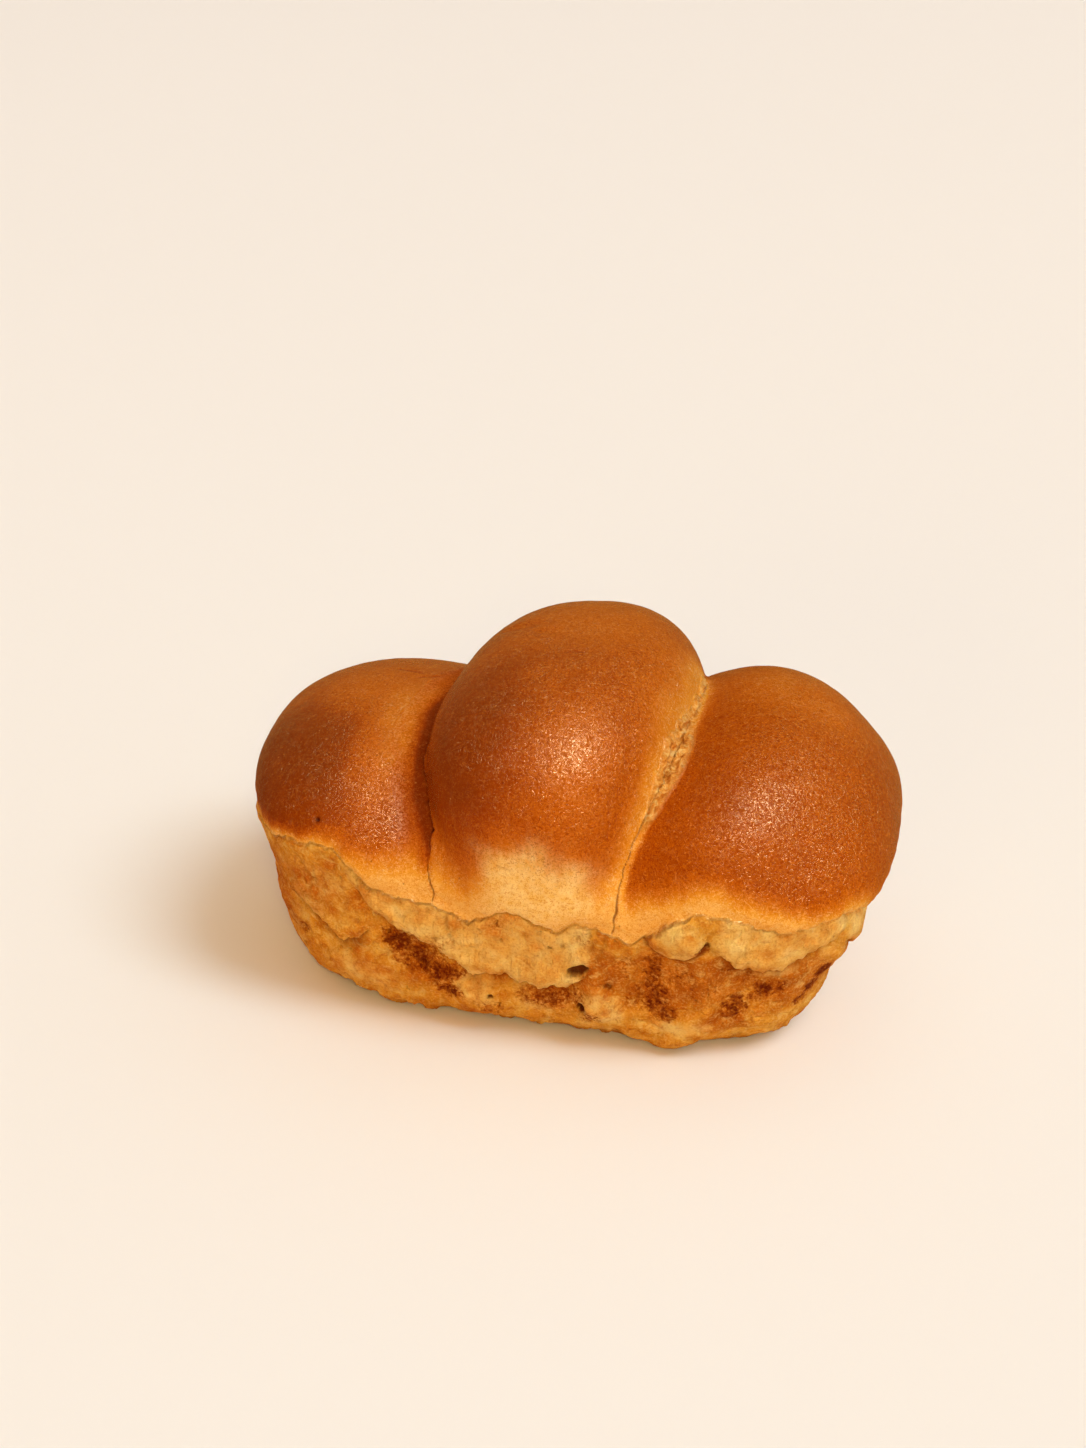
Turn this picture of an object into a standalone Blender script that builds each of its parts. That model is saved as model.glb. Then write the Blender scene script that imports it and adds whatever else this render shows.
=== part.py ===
# Small brioche loaf: three domed buns that rose together out of one tapered, tin-shaped base.
# All sizes below are in millimetres. The scene is in metres, Z is up and the front faces -Y.
import math

import bmesh
import bpy
import numpy as np
from mathutils import Matrix, Vector, noise

MM = 0.001

# The buns: middle, half sizes, turn about Z, lean towards +X, roundness in plan and in side view,
# flare towards the top, and how much deeper the lower half is than the upper half
BUNS = {
    "left": dict(middle=(-36.0, 0.6, 30.1), half=(28.1, 37.7, 24.8), turn=9.3, lean=-0.7,
                 plan=2.31, side=2.34, flare=0.29, lower=1.0),
    "middle": dict(middle=(-0.6, 1.0, 45.6), half=(25.6, 38.5, 26.2), turn=0.5, lean=-6.5,
                   plan=2.47, side=2.85, flare=-0.02, lower=1.5),
    "right": dict(middle=(31.9, 5.7, 30.3), half=(28.4, 38.4, 34.2), turn=3.7, lean=46.6,
                  plan=2.77, side=2.09, flare=0.0, lower=1.0),
}

# The base that the tin shaped
BASE_MIDDLE = (-1.9, 1.9)
BASE_TURN = 2.4
BASE_HALF_BOTTOM = (52.9, 33.2)
BASE_HALF_TOP = (61.0, 36.4)
BASE_TAPER_HEIGHT = 28.7
BASE_SQUARENESS = 3.34
BOTTOM_ROUNDING = 12.0

# Blends: the valley between buns is tight on top and shallow where it meets the lip
VALLEY_TOP = 1.2
VALLEY_LIP = 12.0
VALLEY_REACH = 16.0
LIP_ROUNDING = 4.0
LIP_CREASE = 0.8
SHOULDER_ABOVE_LIP = 2.0
SHOULDER_ROUNDING = 3.0
# At the left end the base's top edge draws in under the crust: distance round, half width, how far
DRAWN_IN = (-66.0, 20.0, 1.6)

# Height of the lip where the crust overhangs the base, by distance round the base from the front's
# middle: + runs to the right end and on to the back, - to the left end and on to the back
LIP = (
    (-168, 31.5), (-158, 32), (-150, 27.5), (-139, 33), (-126, 36.5), (-110, 35.5), (-95, 34.5),
    (-78, 35.5), (-66, 36.4), (-52, 36.1), (-47.5, 38.2), (-43.8, 38.1), (-39.2, 39.2), (-36, 38.3),
    (-33, 35.2), (-29.4, 31.8), (-26, 30.6), (-18, 30.2), (-14.4, 29.2), (-10.2, 27.4), (-5.6, 30),
    (-1.9, 31.8), (1.7, 30.5), (6.9, 28.3), (11.2, 31), (16.8, 29.8), (21.5, 27.8), (25.1, 30.9),
    (29.4, 34.6), (33.8, 36.4), (40.2, 35.3), (44.3, 33.5), (49.9, 31.7), (56.2, 32.3), (62, 32.6),
    (70, 30.6), (84, 32.5), (98, 34.5), (112, 36.5), (126, 36), (139, 32.5), (150, 28), (160, 31.5),
)

# Lower edges of the smooth skin that sagged down the side: (distance round, height) points, and how
# far the skin stands out over what is below
FOLDS = (
    (((-36, 34.5), (-33, 30.5), (-29.5, 25.8), (-25, 22.3), (-19, 20.9), (-14.3, 18), (-11, 14.8),
      (-4.2, 15.6), (3.1, 13.9), (9.6, 15.6), (12.4, 17.6), (15, 23.5)), 2.6),
    (((-52, 25), (-46.2, 21.6), (-42.8, 18.6), (-40.3, 16.3), (-37.3, 17.1), (-30, 22.4)), 1.1),
    (((36, 29), (39.9, 25.7), (43, 23.4), (48, 22.3), (52.1, 22), (58, 25), (66, 29)), 1.8),
    (((64, 27), (76, 18), (86, 16), (95, 19), (104, 28)), 1.3),
    (((108, 31), (118, 22), (128, 18.5), (137, 20.5), (146, 17.5), (156, 24)), 1.6),
    (((-164, 26), (-149, 18.5), (-138, 16.5), (-126, 20), (-114, 29)), 1.6),
    (((-104, 28), (-90, 20), (-80, 17.5), (-68, 24)), 1.2),
)
# Below the edge the step fades over the reach; above it the skin rolls out and swells
FOLD_REACH = 6.0
FOLD_ROLL = 2.6
FOLD_SWELL = 0.4
FOLD_SWELL_REACH = 4.0
FOLD_FADE = 5.0

# Hollows and swellings of the side: distance round, height, half sizes, depth (swellings are minus)
HOLLOWS = (
    (69.5, 24.0, 13.0, 9.5, -2.2),
    (34.0, 2.0, 5.0, 4.0, -1.4),
    (19.0, 3.5, 5.5, 4.0, 0.9),
    (46.0, 4.0, 8.0, 4.0, 0.9),
    (-34.0, 2.0, 3.0, 2.5, -0.9),
    (-20.0, 3.0, 4.0, 3.0, 0.4),
    (24.5, 20.0, 10.0, 9.0, 1.5),
    (46.0, 16.5, 9.0, 5.0, 1.2),
    (-23.0, 16.0, 7.0, 5.5, 1.3),
    (-10.0, 8.5, 6.0, 5.5, -1.3),
    (16.5, 11.0, 5.5, 4.0, -1.2),
    (92.0, 12.0, 11.0, 6.0, 0.9),
    (133.0, 13.0, 10.0, 6.0, 0.8),
    (-143.0, 11.0, 12.0, 6.0, 0.9),
    (-88.0, 12.0, 9.0, 6.0, 0.8),
)

# Beads of dough that pushed out under the lip: distance round, height, half sizes, how far out
BEADS = ((30.0, 30.4, 5.4, 5.0, 2.4), (-133.0, 30.0, 4.0, 3.5, 1.5))

# Holes in the side: distance round, height, half sizes, tilt in degrees, depth
HOLES = (
    (11.4, 19.7, 2.6, 1.5, 25.0, 3.0),
    (12.1, 9.6, 1.1, 1.7, -10.0, 2.4),
    (17.5, 16.0, 1.3, 1.1, 0.0, 0.8),
    (8.5, 25.1, 0.9, 0.8, 0.0, 0.7),
    (-122.0, 14.0, 2.0, 1.2, -20.0, 2.0),
    (120.0, 12.0, 1.3, 1.0, 10.0, 1.6),
)

# The torn strip of crumb in the right-hand valley: how far back, and where its left and right edges
# lie beside the crack
TEAR = (
    (19.0, -0.3, 0.3), (8.0, -0.8, 0.3), (0.0, -0.9, 0.4), (-5.0, -0.8, 0.9), (-8.0, -0.5, 2.2),
    (-14.0, -0.4, 3.2), (-19.0, -0.4, 2.6), (-23.0, -0.4, 1.5), (-26.0, -0.3, 0.4),
)
TEAR_RISE = 0.5
TEAR_ROUGHNESS = 0.6
TEAR_GRAIN = 1.6
# The crack beside it, and the one in the left-hand valley
SEAM_DEPTH = 0.6
SEAM_HALF_WIDTH = 0.5
SEAM_HEIGHTS = (26.0, 16.0)

# Dents of the top: middle, half sizes and depth
DENTS = (
    ((-13.5, 9.5, 69.0), (8.0, 3.0, 4.0), 0.7),
    ((-7.5, 5.5, 71.5), (5.0, 2.0, 3.0), 0.4),
    ((-41.9, -32.5, 43.6), (0.9, 0.9, 0.9), 0.9),
)

# Unevenness
SIDE_LUMP = 0.7
SIDE_LUMP_LENGTH = 9.0
SIDE_GRAIN = 0.28
SIDE_GRAIN_LENGTH = 3.2
TOP_LUMP = 0.3
TOP_LUMP_LENGTH = 15.0

# The rough start: the block's height, and how far its ends and its long sides are set in
BLOCK_HEIGHT = 31.0
BLOCK_INSET = (8.0, 4.0)
SPHERE_SIDES = 48

# How fine the solid is, and how often its points are moved onto the loaf's surface
ROUGH_VOXEL = 2.2
FINE_VOXEL = 0.95
ROUGH_ROUNDS = 14
FINE_ROUNDS = 8
LONGEST_MOVE = 4.0
TRIANGLES = 11600

CRUST_COLOUR = (0.49, 0.2, 0.05, 1.0)
CRUST_ROUGHNESS = 0.5


def smooth_max(a, b, width):
    near = np.maximum(width - np.abs(a - b), 0.0) / width
    return np.maximum(a, b) + near * near * width / 4.0


def smooth_min(a, b, width):
    return -smooth_max(-a, -b, width)


def smooth_step(low, high, value):
    t = np.clip((value - low) / (high - low), 0.0, 1.0)
    return t * t * (3.0 - 2.0 * t)


def turned(x, y, degrees):
    c, s = math.cos(math.radians(degrees)), math.sin(math.radians(degrees))
    return x * c + y * s, y * c - x * s


def rounded(a, b, squareness):
    """How far out a point is, as a share of a squarish round's half sizes."""
    return (np.abs(a) ** squareness + np.abs(b) ** squareness + 1e-9) ** (1.0 / squareness)


def bun_distance(bun, points):
    """Distance outside one bun, a squarish ellipsoid that leans and flares."""
    x, y, z = (points - np.array(bun["middle"])).T
    x, y = turned(x, y, bun["turn"])
    x, z = turned(x, z, -bun["lean"])
    half_x, half_y, half_z = bun["half"]
    half_x = half_x * (1.0 + bun["flare"] * np.tanh(z / half_z))
    half_z = np.where(z < 0.0, half_z * bun["lower"], half_z)
    plan = rounded(x / half_x, y / half_y, bun["plan"])
    whole = rounded(plan, z / half_z, bun["side"])
    return np.sqrt(x * x + y * y + z * z) * (1.0 - 1.0 / whole)


def base_plan(points):
    return turned(points[:, 0] - BASE_MIDDLE[0], points[:, 1] - BASE_MIDDLE[1], BASE_TURN)


def ring():
    """Angles round the base and the distance round it at each, 0 at the front's middle."""
    angle = np.radians(np.linspace(-270.0, 90.0, 1441))
    radius = 1.0 / rounded(np.cos(angle), np.sin(angle), BASE_SQUARENESS)
    x = BASE_HALF_TOP[0] * radius * np.cos(angle)
    y = BASE_HALF_TOP[1] * radius * np.sin(angle)
    length = np.concatenate([[0.0], np.cumsum(np.hypot(np.diff(x), np.diff(y)))])
    return angle, length - np.interp(-math.pi / 2.0, angle, length), length[-1]


RING_ANGLE, RING_LENGTH, ROUND = ring()


def way_round(points):
    x, y = base_plan(points)
    angle = np.arctan2(y / BASE_HALF_TOP[1], x / BASE_HALF_TOP[0])
    angle = np.where(angle > math.pi / 2.0, angle - 2.0 * math.pi, angle)
    return np.interp(angle, RING_ANGLE, RING_LENGTH)


def apart(around, place):
    """Signed distance round the base from a place, the short way."""
    return (around - place + ROUND / 2.0) % ROUND - ROUND / 2.0


def height_above_lip(points, around):
    place, height = np.array(LIP, float).T
    ragged = 0.22 * np.sin(1.35 * around + 0.6) + 0.16 * np.sin(2.9 * around + 2.0)
    return points[:, 2] - np.interp(around, place, height, period=ROUND) - ragged


def base_distance(points, around, above):
    """Distance outside the tapered base, which stops a little above the lip, inside the crust."""
    x, y = base_plan(points)
    z = points[:, 2]
    t = np.clip(z / BASE_TAPER_HEIGHT, -0.3, 1.3)
    half_x = BASE_HALF_BOTTOM[0] + (BASE_HALF_TOP[0] - BASE_HALF_BOTTOM[0]) * t
    half_y = BASE_HALF_BOTTOM[1] + (BASE_HALF_TOP[1] - BASE_HALF_BOTTOM[1]) * t
    plan = rounded(x / half_x, y / half_y, BASE_SQUARENESS)
    side = np.hypot(x, y) * (1.0 - 1.0 / np.maximum(plan, 1e-3))
    place, half_width, drawn = DRAWN_IN
    near = 1.0 - smooth_step(0.3, 1.0, np.abs(apart(around, place)) / half_width)
    side = side + drawn * near * smooth_step(0.5, 1.1, t)
    body = smooth_max(side, -z, BOTTOM_ROUNDING)
    return smooth_max(body, above - SHOULDER_ABOVE_LIP, SHOULDER_ROUNDING)


def loaf(points):
    """Distance outside the loaf, and what the relief needs: each bun's distance and the lip's."""
    around = way_round(points)
    above = height_above_lip(points, around)
    left, middle, right = (bun_distance(BUNS[name], points) for name in ("left", "middle", "right"))
    valley = VALLEY_TOP + (VALLEY_LIP - VALLEY_TOP) * smooth_step(VALLEY_REACH + 2.0, 2.0, above)
    crust = smooth_min(smooth_min(left, middle, valley), right, valley)
    crust = smooth_max(crust, -above, LIP_ROUNDING)
    base = base_distance(points, around, above)
    return smooth_min(crust, base, LIP_CREASE), left, middle, right, around, above


def slope(points, step=0.15):
    """Gradient of the loaf's distance."""
    parts = []
    for axis in range(3):
        shift = np.zeros(3)
        shift[axis] = step
        parts.append((loaf(points + shift)[0] - loaf(points - shift)[0]) / (2.0 * step))
    return np.stack(parts, axis=1)


def settle(points, rounds):
    """Moves points onto the loaf's surface."""
    for _ in range(rounds):
        gradient = slope(points)
        length = np.maximum((gradient * gradient).sum(axis=1), 0.09)
        move = np.clip(loaf(points)[0] / length, -LONGEST_MOVE, LONGEST_MOVE)
        points = points - move[:, None] * gradient
    return points


def lumps(points, length, offset):
    """Smooth unevenness of about the given length, from -1 to 1."""
    return np.array([noise.noise(Vector(p / length) + Vector((offset, 0.0, 0.0))) for p in points])


def folds(around, z):
    """How far the side stands out or in at the folds of its skin."""
    out = np.zeros(len(z))
    for edge, depth in FOLDS:
        place, height = np.array(edge, float).T
        middle = (place[0] + place[-1]) / 2.0
        local = apart(around, middle)
        inside = (place[-1] - place[0]) / 2.0 - np.abs(local)
        over = z - np.interp(local, place - middle, height)
        roll = 1.0 - np.clip(over / FOLD_ROLL, 0.0, 1.0)
        below = np.exp(np.minimum(over, 0.0) / FOLD_REACH)
        swell = np.exp(-np.maximum(over - FOLD_ROLL, 0.0) / FOLD_SWELL_REACH)
        swell = swell * smooth_step(-0.4, FOLD_ROLL, over)
        step = np.where(over < 0.0, below, 1.0 - np.sqrt(1.0 - roll * roll))
        out += depth * smooth_step(0.0, FOLD_FADE, inside) * (FOLD_SWELL * swell - step)
    return out


def hollows(around, z):
    """How far the broad hollows of the side go in, minus where it swells."""
    deep = np.zeros(len(z))
    for place, height, half_round, half_high, depth in HOLLOWS:
        r = np.hypot(apart(around, place) / half_round, (z - height) / half_high)
        deep += depth * (1.0 - smooth_step(0.2, 1.2, r))
    return deep


def beads(around, z):
    out = np.zeros(len(z))
    for place, height, half_round, half_high, rise in BEADS:
        r = np.hypot(apart(around, place) / half_round, (z - height) / half_high)
        out += rise * np.sqrt(np.clip(1.0 - r * r, 0.0, 1.0))
    return out


def holes(around, z):
    deep = np.zeros(len(z))
    for place, height, half_round, half_high, tilt, depth in HOLES:
        a, b = turned(apart(around, place), z - height, tilt)
        r = np.hypot(a / half_round, b / half_high)
        deep = np.maximum(deep, depth * (1.0 - smooth_step(0.45, 1.1, r)))
    return deep


def dents(points):
    deep = np.zeros(len(points))
    for centre, half, depth in DENTS:
        r = np.linalg.norm((points - np.array(centre)) / np.array(half), axis=1)
        deep = np.maximum(deep, depth * (1.0 - smooth_step(0.1, 1.0, r)))
    return deep


def torn_strip(y, beside):
    """1 on the strip of torn crumb, by how far a point lies to the right of the crack."""
    along, left_edge, right_edge = np.array(TEAR)[::-1].T
    inside = smooth_step(-0.3, 0.1, beside - np.interp(y, along, left_edge))
    inside = inside * smooth_step(-0.4, 0.3, np.interp(y, along, right_edge) - beside)
    return inside * smooth_step(along[-1], along[-1] - 3.0, y) * smooth_step(along[0], along[0] + 2.0, y)


def cracks(left, middle, right, above):
    """How deep the cracks in the lower ends of the two valleys are."""
    near = np.minimum(np.abs(left - middle), np.abs(middle - right)) / 2.0 / SEAM_HALF_WIDTH
    return SEAM_DEPTH * smooth_step(*SEAM_HEIGHTS, above) * (1.0 - smooth_step(0.1, 1.0, near))


def relief(points, parts):
    """How far each point stands out from the smooth loaf."""
    _, left, middle, right, around, above = parts
    y, z = points[:, 1], points[:, 2]
    side = smooth_step(0.3, -1.2, above) * smooth_step(0.0, 2.0, z)
    wall = smooth_step(0.6, -0.8, above) * smooth_step(0.0, 3.0, z)
    crust = smooth_step(0.0, 1.2, above)
    broad = lumps(points, SIDE_LUMP_LENGTH, 3.0)
    grain = lumps(points, SIDE_GRAIN_LENGTH, 5.0)
    out = side * (folds(around, z) - hollows(around, z))
    out += smooth_step(1.0, 0.0, above) * beads(around, z)
    out -= smooth_step(0.3, -0.8, above) * holes(around, z)
    out -= dents(points)
    out += wall * (SIDE_LUMP * broad + SIDE_GRAIN * grain)
    beside = (middle - right) / 2.0 + 0.5 * broad
    strip = crust * torn_strip(y, beside)
    out += strip * (TEAR_RISE + TEAR_ROUGHNESS * lumps(points, TEAR_GRAIN, 9.0))
    out -= crust * (1.0 - strip) * cracks(left, middle, right, above)
    out += crust * TOP_LUMP * lumps(points, TOP_LUMP_LENGTH, 1.0)
    return out


def read_points(mesh):
    flat = np.empty(len(mesh.vertices) * 3)
    mesh.vertices.foreach_get("co", flat)
    return flat.reshape(-1, 3) / MM


def write_points(mesh, points):
    mesh.vertices.foreach_set("co", (points * MM).astype(np.float32).ravel())
    mesh.update()


def add_bun(shape, bun):
    place = Matrix.Translation(Vector(bun["middle"]) * MM)
    turn = Matrix.Rotation(math.radians(bun["turn"]), 4, "Z")
    lean = Matrix.Rotation(math.radians(bun["lean"]), 4, "Y")
    size = Matrix.Diagonal(Vector([half * MM for half in bun["half"]] + [1.0]))
    bmesh.ops.create_uvsphere(shape, u_segments=SPHERE_SIDES, v_segments=SPHERE_SIDES // 2, radius=1.0,
                              matrix=place @ turn @ lean @ size)


def add_block(shape):
    """The base as a plain tapered block, a little inside its real sides."""
    turn = Matrix.Rotation(math.radians(BASE_TURN), 3, "Z")
    middle = Vector((*BASE_MIDDLE, 0.0))
    for vert in bmesh.ops.create_cube(shape, size=2.0)["verts"]:
        top = vert.co.z > 0.0
        half_x, half_y = BASE_HALF_TOP if top else BASE_HALF_BOTTOM
        corner = Vector((vert.co.x * (half_x - BLOCK_INSET[0]), vert.co.y * (half_y - BLOCK_INSET[1]), 0.0))
        height = Vector((0.0, 0.0, BLOCK_HEIGHT if top else 0.0))
        vert.co = (turn @ corner + middle + height) * MM


def rough_shape():
    """Ellipsoids and a tapered block in one mesh, close to the loaf before it is settled."""
    shape = bmesh.new()
    for bun in BUNS.values():
        add_bun(shape, bun)
    add_block(shape)
    mesh = bpy.data.meshes.new("rough")
    shape.to_mesh(mesh)
    shape.free()
    return mesh


def remeshed(mesh, voxel):
    """One closed skin round everything in the mesh, with evenly sized faces."""
    helper = bpy.data.objects.new("helper", mesh)
    bpy.context.scene.collection.objects.link(helper)
    skin = helper.modifiers.new("skin", "REMESH")
    skin.mode = "VOXEL"
    skin.voxel_size = voxel * MM
    graph = bpy.context.evaluated_depsgraph_get()
    result = bpy.data.meshes.new_from_object(helper.evaluated_get(graph))
    bpy.data.objects.remove(helper)
    return result


def loaf_mesh():
    """The loaf with its relief, centred on its footprint and standing on Z = 0."""
    mesh = remeshed(rough_shape(), ROUGH_VOXEL)
    write_points(mesh, settle(read_points(mesh), ROUGH_ROUNDS))
    mesh = remeshed(mesh, FINE_VOXEL)
    points = settle(read_points(mesh), FINE_ROUNDS)
    gradient = slope(points)
    normal = gradient / np.maximum(np.linalg.norm(gradient, axis=1), 1e-6)[:, None]
    points = points + normal * relief(points, loaf(points))[:, None]
    points[:, 2] = np.maximum(points[:, 2], 0.0)
    low, high = points.min(axis=0), points.max(axis=0)
    points -= np.array([(low[0] + high[0]) / 2.0, (low[1] + high[1]) / 2.0, low[2]])
    write_points(mesh, points)
    mesh.shade_smooth()
    return mesh


def crust_material():
    material = bpy.data.materials.new("crust")
    material.use_nodes = True
    shader = material.node_tree.nodes["Principled BSDF"]
    shader.inputs["Base Color"].default_value = CRUST_COLOUR
    shader.inputs["Roughness"].default_value = CRUST_ROUGHNESS
    return material


def fewer_faces(brioche):
    """Keeps the faces where the relief needs them."""
    brioche.data.calc_loop_triangles()
    fewer = brioche.modifiers.new("fewer faces", "DECIMATE")
    fewer.ratio = TRIANGLES / len(brioche.data.loop_triangles)
    fewer.use_collapse_triangulate = True


def build():
    for obj in list(bpy.data.objects):
        bpy.data.objects.remove(obj)
    bpy.context.scene.unit_settings.scale_length = 1.0
    mesh = loaf_mesh()
    mesh.name = "brioche"
    mesh.materials.clear()
    mesh.materials.append(crust_material())
    brioche = bpy.data.objects.new("brioche", mesh)
    parts = bpy.data.collections.new("brioche")
    bpy.context.scene.collection.children.link(parts)
    parts.objects.link(brioche)
    fewer_faces(brioche)


build()
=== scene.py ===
# Looks of the small brioche loaf: a fine crust mesh over the imported solid, its baked colours with
# painted shade and light, and a plain cream studio. Sizes of the bread are in millimetres, as on the
# solid, and places in the scene are in metres.
import math

import bmesh
import bpy
import numpy as np
from mathutils import Matrix, Vector, noise

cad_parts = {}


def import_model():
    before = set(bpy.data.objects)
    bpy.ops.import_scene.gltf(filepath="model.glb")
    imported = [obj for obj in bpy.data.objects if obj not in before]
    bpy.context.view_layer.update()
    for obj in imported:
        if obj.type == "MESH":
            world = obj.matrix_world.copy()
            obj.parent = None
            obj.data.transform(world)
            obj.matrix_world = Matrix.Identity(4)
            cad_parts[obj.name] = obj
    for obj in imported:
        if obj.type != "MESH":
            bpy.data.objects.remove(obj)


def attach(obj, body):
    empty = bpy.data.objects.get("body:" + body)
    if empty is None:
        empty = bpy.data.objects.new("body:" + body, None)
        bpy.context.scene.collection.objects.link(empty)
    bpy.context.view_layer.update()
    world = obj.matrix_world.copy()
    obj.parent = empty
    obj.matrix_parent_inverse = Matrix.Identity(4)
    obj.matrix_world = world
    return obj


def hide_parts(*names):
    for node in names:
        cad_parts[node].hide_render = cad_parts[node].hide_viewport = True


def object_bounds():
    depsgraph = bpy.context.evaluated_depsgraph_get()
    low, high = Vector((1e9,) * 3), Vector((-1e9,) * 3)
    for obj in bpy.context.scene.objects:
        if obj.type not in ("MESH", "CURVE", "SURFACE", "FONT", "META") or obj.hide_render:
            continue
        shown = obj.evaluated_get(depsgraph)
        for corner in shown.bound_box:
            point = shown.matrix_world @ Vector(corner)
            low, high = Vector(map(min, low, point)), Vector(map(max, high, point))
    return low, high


MM = 0.001

# The buns: middle, half sizes, turn about Z, lean towards +X, roundness in plan and in side view,
# flare towards the top, and how much deeper the lower half is than the upper half
BUNS = {
    "left": dict(middle=(-36, 0.6, 30.1), half=(28.1, 37.7, 24.8), turn=9.3, lean=-0.7,
                 plan=2.31, side=2.34, flare=0.29, lower=1),
    "middle": dict(middle=(-0.6, 1, 45.6), half=(25.6, 38.5, 26.2), turn=0.5, lean=-6.5,
                   plan=2.47, side=2.85, flare=-0.02, lower=1.5),
    "right": dict(middle=(31.9, 5.7, 30.3), half=(28.4, 38.4, 34.2), turn=3.7, lean=46.6,
                  plan=2.77, side=2.09, flare=0, lower=1),
}

# The base that the tin shaped
BASE_MIDDLE = (-1.9, 1.9)
BASE_TURN = 2.4
BASE_HALF_BOTTOM = (52.9, 33.2)
BASE_HALF_TOP = (61, 36.4)
BASE_TAPER_HEIGHT = 28.7
BASE_SQUARENESS = 3.34
BOTTOM_ROUNDING = 12

# Blends: the valley between buns is tight on top and shallow where it meets the lip
VALLEY_TOP = 1.2
VALLEY_LIP = 12
VALLEY_REACH = 16
LIP_ROUNDING = 4
LIP_CREASE = 0.8
SHOULDER_ABOVE_LIP = 2
SHOULDER_ROUNDING = 3
# At the left end the base's top edge draws in under the crust: distance round, half width, how far
DRAWN_IN = (-66, 20, 1.6)

# Height of the lip where the crust overhangs the base, by distance round the base from the front's
# middle: + runs to the right end and on to the back, - to the left end and on to the back. The waves
# that make it ragged have a height, a pace round the base and a start
LIP = (
    (-168, 31.5), (-158, 32), (-150, 27.5), (-139, 33), (-126, 36.5), (-110, 35.5), (-95, 34.5),
    (-78, 35.5), (-66, 36.4), (-52, 36.1), (-47.5, 38.2), (-43.8, 38.1), (-39.2, 39.2), (-36, 38.3),
    (-33, 35.2), (-29.4, 31.8), (-26, 30.6), (-18, 30.2), (-14.4, 29.2), (-10.2, 27.4), (-5.6, 30),
    (-1.9, 31.8), (1.7, 30.5), (6.9, 28.3), (11.2, 31), (16.8, 29.8), (21.5, 27.8), (25.1, 30.9),
    (29.4, 34.6), (33.8, 36.4), (40.2, 35.3), (44.3, 33.5), (49.9, 31.7), (56.2, 32.3), (62, 32.6),
    (70, 30.6), (84, 32.5), (98, 34.5), (112, 36.5), (126, 36), (139, 32.5), (150, 28), (160, 31.5),
)
LIP_WAVES = ((0.22, 1.35, 0.6), (0.16, 2.9, 2))

# Lower edges of the smooth skin that sagged down the side: (distance round, height) points, how far
# the skin stands out over what is below, and how pale it is
FOLDS = (
    (((-36, 34.5), (-33, 30.5), (-29.5, 25.8), (-25, 22.3), (-19, 20.9), (-14.3, 18), (-11, 14.8),
      (-4.2, 15.6), (3.1, 13.9), (9.6, 15.6), (12.4, 17.6), (15, 23.5)), 2.6, 1),
    (((-52, 25), (-46.2, 21.6), (-42.8, 18.6), (-40.3, 16.3), (-37.3, 17.1), (-30, 22.4)), 1.1, 0.25),
    (((36, 29), (39.9, 25.7), (43, 23.4), (48, 22.3), (52.1, 22), (58, 25), (66, 29)), 1.8, 0.65),
    (((64, 27), (76, 18), (86, 16), (95, 19), (104, 28)), 1.3, 0.7),
    (((108, 31), (118, 22), (128, 18.5), (137, 20.5), (146, 17.5), (156, 24)), 1.6, 0.8),
    (((-164, 26), (-149, 18.5), (-138, 16.5), (-126, 20), (-114, 29)), 1.6, 0.8),
    (((-104, 28), (-90, 20), (-80, 17.5), (-68, 24)), 1.2, 0.6),
)
FOLD_WAVES = ((0.3, 1.3, 0), (0.2, 3.1, 1))
FOLD_REACH = 6
FOLD_ROLL = 2.6
FOLD_SWELL = 0.4
FOLD_SWELL_REACH = 4
FOLD_FADE = 5
FOLD_SHADE = 2.6

# Hollows and swellings of the side: distance round, height, half sizes, depth (swellings are minus)
HOLLOWS = (
    (69.5, 24, 13, 9.5, -2.2),
    (34, 2, 5, 4, -1.4),
    (19, 3.5, 5.5, 4, 0.9),
    (46, 4, 8, 4, 0.9),
    (-34, 2, 3, 2.5, -0.9),
    (-20, 3, 4, 3, 0.4),
    (24.5, 20, 10, 9, 1.5),
    (46, 16.5, 9, 5, 1.2),
    (-23, 16, 7, 5.5, 1.3),
    (-10, 8.5, 6, 5.5, -1.3),
    (16.5, 11, 5.5, 4, -1.2),
    (92, 12, 11, 6, 0.9),
    (133, 13, 10, 6, 0.8),
    (-143, 11, 12, 6, 0.9),
    (-88, 12, 9, 6, 0.8),
)

# Beads of dough that pushed out under the lip: distance round, height, half sizes, how far out
BEADS = ((30, 30.4, 5.4, 5, 2.4), (-133, 30, 4, 3.5, 1.5))
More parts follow.
